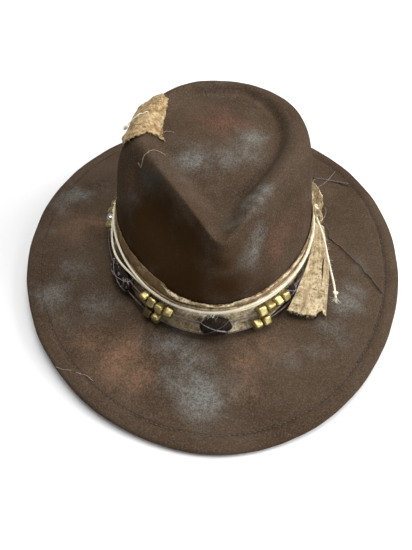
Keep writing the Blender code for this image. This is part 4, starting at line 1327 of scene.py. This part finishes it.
def build_cord_ends(look):
    """The cream cord's knot, and its hanging end with a knotted, frayed tip."""
    angle = math.radians(KNOT_ANGLE)
    centre = on_band(angle, CORD_RISE, 2 * (2 * GAP + CORD_RADIUS) + 0.0026)
    knot = overhand(0.0013, 0.0011, 0.0009, 60)
    loops = centre + knot @ band_axes(angle).T
    tubes("cord_knot_loops", [loops], 0.00085, "hat_band", look, "cream_cord_knot",
          sides=12, twist=CORD_TWIST, closed=True)
    share = np.linspace(0, 1, 150)
    path = bezier(CORD_TAIL, 0.97 * share) + (0, 0, BREAK_Z)
    path[:, 0] += 0.0032 * np.sin(7 * share) * share * (1 - share)
    tubes("cord_end", [path], 0.00082, "cord_tail", look, "cream_cord_tail", sides=15, twist=END_TWIST)
    tip = path[-8] + knot[:, [0, 2, 1]] * 0.68 * (1, 1, 0.7) + (0, 0, 0.0004)
    tubes("cord_end_knot", [tip], 0.00068, "cord_tail", look, sides=12, twist=TIP_TWIST, closed=True)
    rng = np.random.default_rng(121)
    ways = unit(path[-1] - path[-6]) + rng.normal(size=(46, 3)) * (0.5, 0.5, 0.15)
    starts = path[-1] + rng.normal(size=(46, 3)) * 0.0003
    fibres("cord_end_fray", starts, ways, (0.002, 0.005), 0.00008, "cord_tail", look, rng, 122)
    starts = path[rng.integers(10, 140, 60)]
    ways = rng.normal(size=(60, 3))
    fibres("cord_end_fuzz", starts, ways, (0.002, 0.006), FUZZ, "cord_tail", look, rng, 123, 3, 1.2)


def hanging_path(hang, start, end, bow, seed):
    """A thread that drops from the knot and then wanders over the brim."""
    step = np.linspace(0, 1, 14)
    angle = np.radians(start[0] + (end[0] - start[0]) * step)
    share = start[1] + (end[1] - start[1]) * step + bow * np.sin(np.pi * step)
    points = brim(angle, share, 0.0013)
    points[1:, :2] += np.random.default_rng(seed).normal(size=(13, 2)) * 0.00035
    drop = np.array((points[0, 0], points[0, 1], hang[2]))
    drop = drop + (hang - drop) * 0.35 - (0, 0, 0.005)
    return curve_through(np.concatenate(([hang, drop], points)), 120)


def build_thread_ends(look):
    """The waxed thread's knot and its two long ends on the brim."""
    back = math.radians(THREAD_BACK_ANGLE)
    centre = on_band(back, STRAND_RISE["upper"], 2 * GAP + BEAD_REACH + 0.0022)
    knot = centre + overhand(0.0010, 0.0008, 0.0007, 48) @ band_axes(back).T
    tubes("waxed_knot", [knot], 0.0005, "hat_band", look, "bead_thread_knot",
          sides=8, twist=THREAD_TWIST, closed=True)
    ends = (
        ("long", on_band(math.radians(2.0), 0.0150, 0.0120), (-0.5, 0.26), (-20.7, 0.84), -0.02, 131),
        ("back", on_band(math.radians(THREAD_BACK_ANGLE - 3.0), STRAND_RISE["upper"], 0.0110),
         (44.0, 0.25), (24.0, 0.82), 0.02, 132),
    )
    for name, *course in ends:
        tubes("waxed_end_" + name, [hanging_path(*course)], 0.00048, "thread_tail_" + name, look,
              "bead_thread_tail_" + name, sides=8, twist=WAXED_TWIST)


# ---------------------------------------------------------------- patch and loose threads


def build_patch(look):
    """The torn scrap: rings of the crown across it, and its front edge arched back over the rim."""
    share, side = np.meshgrid(np.linspace(0, 1, 80), np.linspace(0, 1, 64), indexing="ij")
    torn = 0.5 * np.sin(side * 21) + 0.35 * np.sin(side * 57) + 0.25 * np.sin(side * 131 + 1)
    front = np.interp(side, PATCH_SIDES, PATCH_FRONT) + torn
    back = np.interp(side, PATCH_SIDES, PATCH_BACK) + 0.8 * np.sin(side * 17) + 0.4 * np.sin(side * 83)
    outside = np.interp(share, PATCH_SHARES, PATCH_OUTSIDE) + 0.04 * np.sin(share * 27)
    inside = np.interp(share, PATCH_SHARES, PATCH_INSIDE)
    inside += 0.06 * np.sin(share * 31) + 0.04 * np.sin(share * 97)
    lift = 0.0011 + 0.0003 * np.sin(share * 12 + side * 5) + 0.00022 * np.sin(side * 23 + share * 7)
    edge = np.minimum(np.minimum(share, 1 - share), np.minimum(side, 1 - side))
    lift += 0.0008 * np.exp(-edge / 0.05) * (0.5 + 0.5 * np.sin(share * 9 + side * 11))
    lift += 0.0060 * np.clip(share - 0.35, 0, 1) ** 1.5 * np.clip(1 - side / 0.35, 0, 1)  # the far corner
    grid = on_crown(np.radians(front + (back - front) * share), outside + (inside - outside) * side, lift)
    cloth_sheet("patch_cloth", grid.swapaxes(0, 1), "felt_hat", look, "crown_patch")
    rng = np.random.default_rng(141)
    middle = grid[40, 32]
    starts, ways = [], []
    for edge in (grid[0], grid[-1], grid[:, 0], grid[:, -1]):
        for index in rng.integers(0, len(edge), 46):
            starts.append(edge[index])
            ways.append((edge[index] - middle) / 0.03 + rng.normal(size=3) * 0.8)
    fibres("patch_fray", starts, ways, (0.0008, 0.0028), COARSE_FRAY, "felt_hat", look, rng, 142)


def build_patch_threads(look):
    """A knotty pulled thread across the patch, with a fuzzy knot at its outer end."""
    points = [on_crown(np.radians(float(degrees)), level, 0.0032) for degrees, level in PATCH_THREAD]
    path = curve_through(points, 60)
    path += np.stack([0.0003 * np.sin(np.linspace(0, 40, 60) + k) for k in range(3)], -1)
    thick = 0.00036 + 0.00024 * np.maximum(0, np.sin(np.linspace(0, 11, 60))) ** 3
    turn = np.linspace(0, TAU * 1.6, 50)
    y = 0.0012 * np.sin(turn) + 0.0004 * turn / 6
    knot = points[0] + np.stack((0.0013 * np.cos(turn), y, 0.0011 * np.sin(turn * 1.3)), -1)
    tubes("patch_thread", [path], thick, "felt_hat", look, sides=8, twist=THREAD_TWIST)
    tubes("patch_thread_knot", [knot], 0.00055, "felt_hat", look, sides=8, twist=THREAD_TWIST)
    rng = np.random.default_rng(151)
    starts = knot[rng.integers(0, 50, 26)]
    ways = rng.normal(size=(26, 3))
    fibres("patch_thread_fuzz", starts, ways, (0.001, 0.003), COARSE_FRAY, "felt_hat", look, rng, 152)


def build_loose_threads(pale, grey):
    """Stray threads lying on the felt, and curls of grey thread about the knot."""
    mesh = bpy.data.objects["felt_shell"].data
    corners = [tuple(v.co) for v in mesh.vertices]
    felt = BVHTree.FromPolygons(corners, [tuple(p.vertices) for p in mesh.polygons])
    paths = []
    for points in STRAY_THREADS:
        path = curve_through(points, 50)
        path += np.stack([0.0004 * np.sin(np.linspace(0, 17, 50) + 2 * k) for k in range(3)], -1)
        paths.append([rest_on(felt, point, 0.0005) for point in path])
    tubes("stray_threads", paths, 0.00016, "felt_hat", pale)
    tubes("grey_curls", [curve_through(points, 90) for points in GREY_CURLS], 0.00021, "hat_band", grey)


def rest_on(tree, point, height):
    """The point moved along the nearest surface's normal to a height above it."""
    place, normal, _, _ = tree.find_nearest(Vector(point))
    if normal.dot(Vector(point) - place) < 0 and normal.z < 0:
        normal = -normal
    return np.array(place + normal * height)


# ---------------------------------------------------------------- stage


def build_stage():
    """Pale floor, pale surroundings and soft lights."""
    bpy.ops.mesh.primitive_plane_add(size=6.0, location=(0, 0, -0.0002))
    floor = bpy.context.object
    floor.name = "floor"
    floor.data.materials.append(floor_finish())
    world = bpy.data.worlds.new("studio")
    world.use_nodes = True
    tree = world.node_tree
    background = tree.nodes["Background"]
    background.inputs["Color"].default_value = (1.0, 0.99, 0.98, 1.0)
    seen = tree.nodes.new("ShaderNodeMapRange")
    seen.inputs["To Min"].default_value = FILL_STRENGTH
    seen.inputs["To Max"].default_value = 1.0
    tree.links.new(tree.nodes.new("ShaderNodeLightPath").outputs["Is Camera Ray"], seen.inputs["Value"])
    tree.links.new(seen.outputs["Result"], background.inputs["Strength"])
    bpy.context.scene.world = world
    for name, place, size, power in LIGHTS:
        data = bpy.data.lights.new(name, "AREA")
        data.size = size
        data.energy = power
        light = bpy.data.objects.new(name, data)
        light.location = place
        light.rotation_euler = (Vector((0, 0, 0.05)) - Vector(place)).to_track_quat("-Z", "Y").to_euler()
        bpy.context.scene.collection.objects.link(light)


def build_camera():
    data = bpy.data.cameras.new("camera")
    data.lens = CAMERA_LENS
    data.sensor_width = 36.0
    data.clip_start = 0.01
    camera = bpy.data.objects.new("camera", data)
    turn = Vector(CAMERA_AIM).normalized().to_track_quat("-Z", "Y").to_matrix().to_4x4()
    roll = Matrix.Rotation(math.radians(CAMERA_ROLL), 4, "Z")
    camera.matrix_world = Matrix.Translation(CAMERA_PLACE) @ turn @ roll
    bpy.context.scene.collection.objects.link(camera)
    bpy.context.scene.camera = camera


def build_hat():
    sewing = thread_finish("sewing_thread", (0.050, 0.036, 0.027), (0.12, 0.09, 0.07)), "sewing"
    waxed_finish = thread_finish("waxed_linen", (0.040, 0.028, 0.021), (0.110, 0.084, 0.070), 0.60)
    binding_finish = thread_finish("binding_thread", (0.13, 0.11, 0.12), (0.32, 0.28, 0.30), 0.55)
    pale_finish = thread_finish("pale_thread", (0.30, 0.25, 0.19), (0.50, 0.44, 0.36))
    worn = thread_finish("waxed_linen_worn", (0.070, 0.052, 0.045), (0.19, 0.155, 0.140), 0.60)
    cord = cord_finish(), "cord"
    cotton = {name: (cotton_finish("cotton_" + name, *tints), "cloth") for name, tints in COTTONS.items()}
    build_felt((felt_finish(), "felt"))
    build_brim_stitches(sewing)
    build_brim_wire((steel_finish(), "wire"))
    build_sweatband((leather_finish(), "sweat_leather"), sewing, (ribbon_finish(), "ribbon"))
    build_band(cotton["tan"], cotton["cream"])
    build_cord(cord)
    build_strands((worn, "waxed_thread"))
    build_brass_beads(*((brass_finish(name, *metal), "brass") for name, metal in METALS.items()))
    binding = binding_finish, "sewing"
    wood = wood_finish(), "bound_bead"
    build_bound_beads(wood, binding, (waxed_finish, "sewing"), (pale_finish, "sewing"))
    build_cloth_knot(cotton["tail"])
    build_short_end(cotton["cream"])
    build_cloth_tail(cotton["tail"])
    build_cord_ends(cord)
    build_thread_ends((waxed_finish, "waxed_thread"))
    build_patch(cotton["scrap"])
    build_patch_threads(cord)
    build_loose_threads((pale_finish, "cord"), (binding_finish, "waxed_thread"))


build_hat()
build_stage()
bpy.context.scene.view_settings.view_transform = "Standard"
build_camera()
bpy.context.view_layer.update()
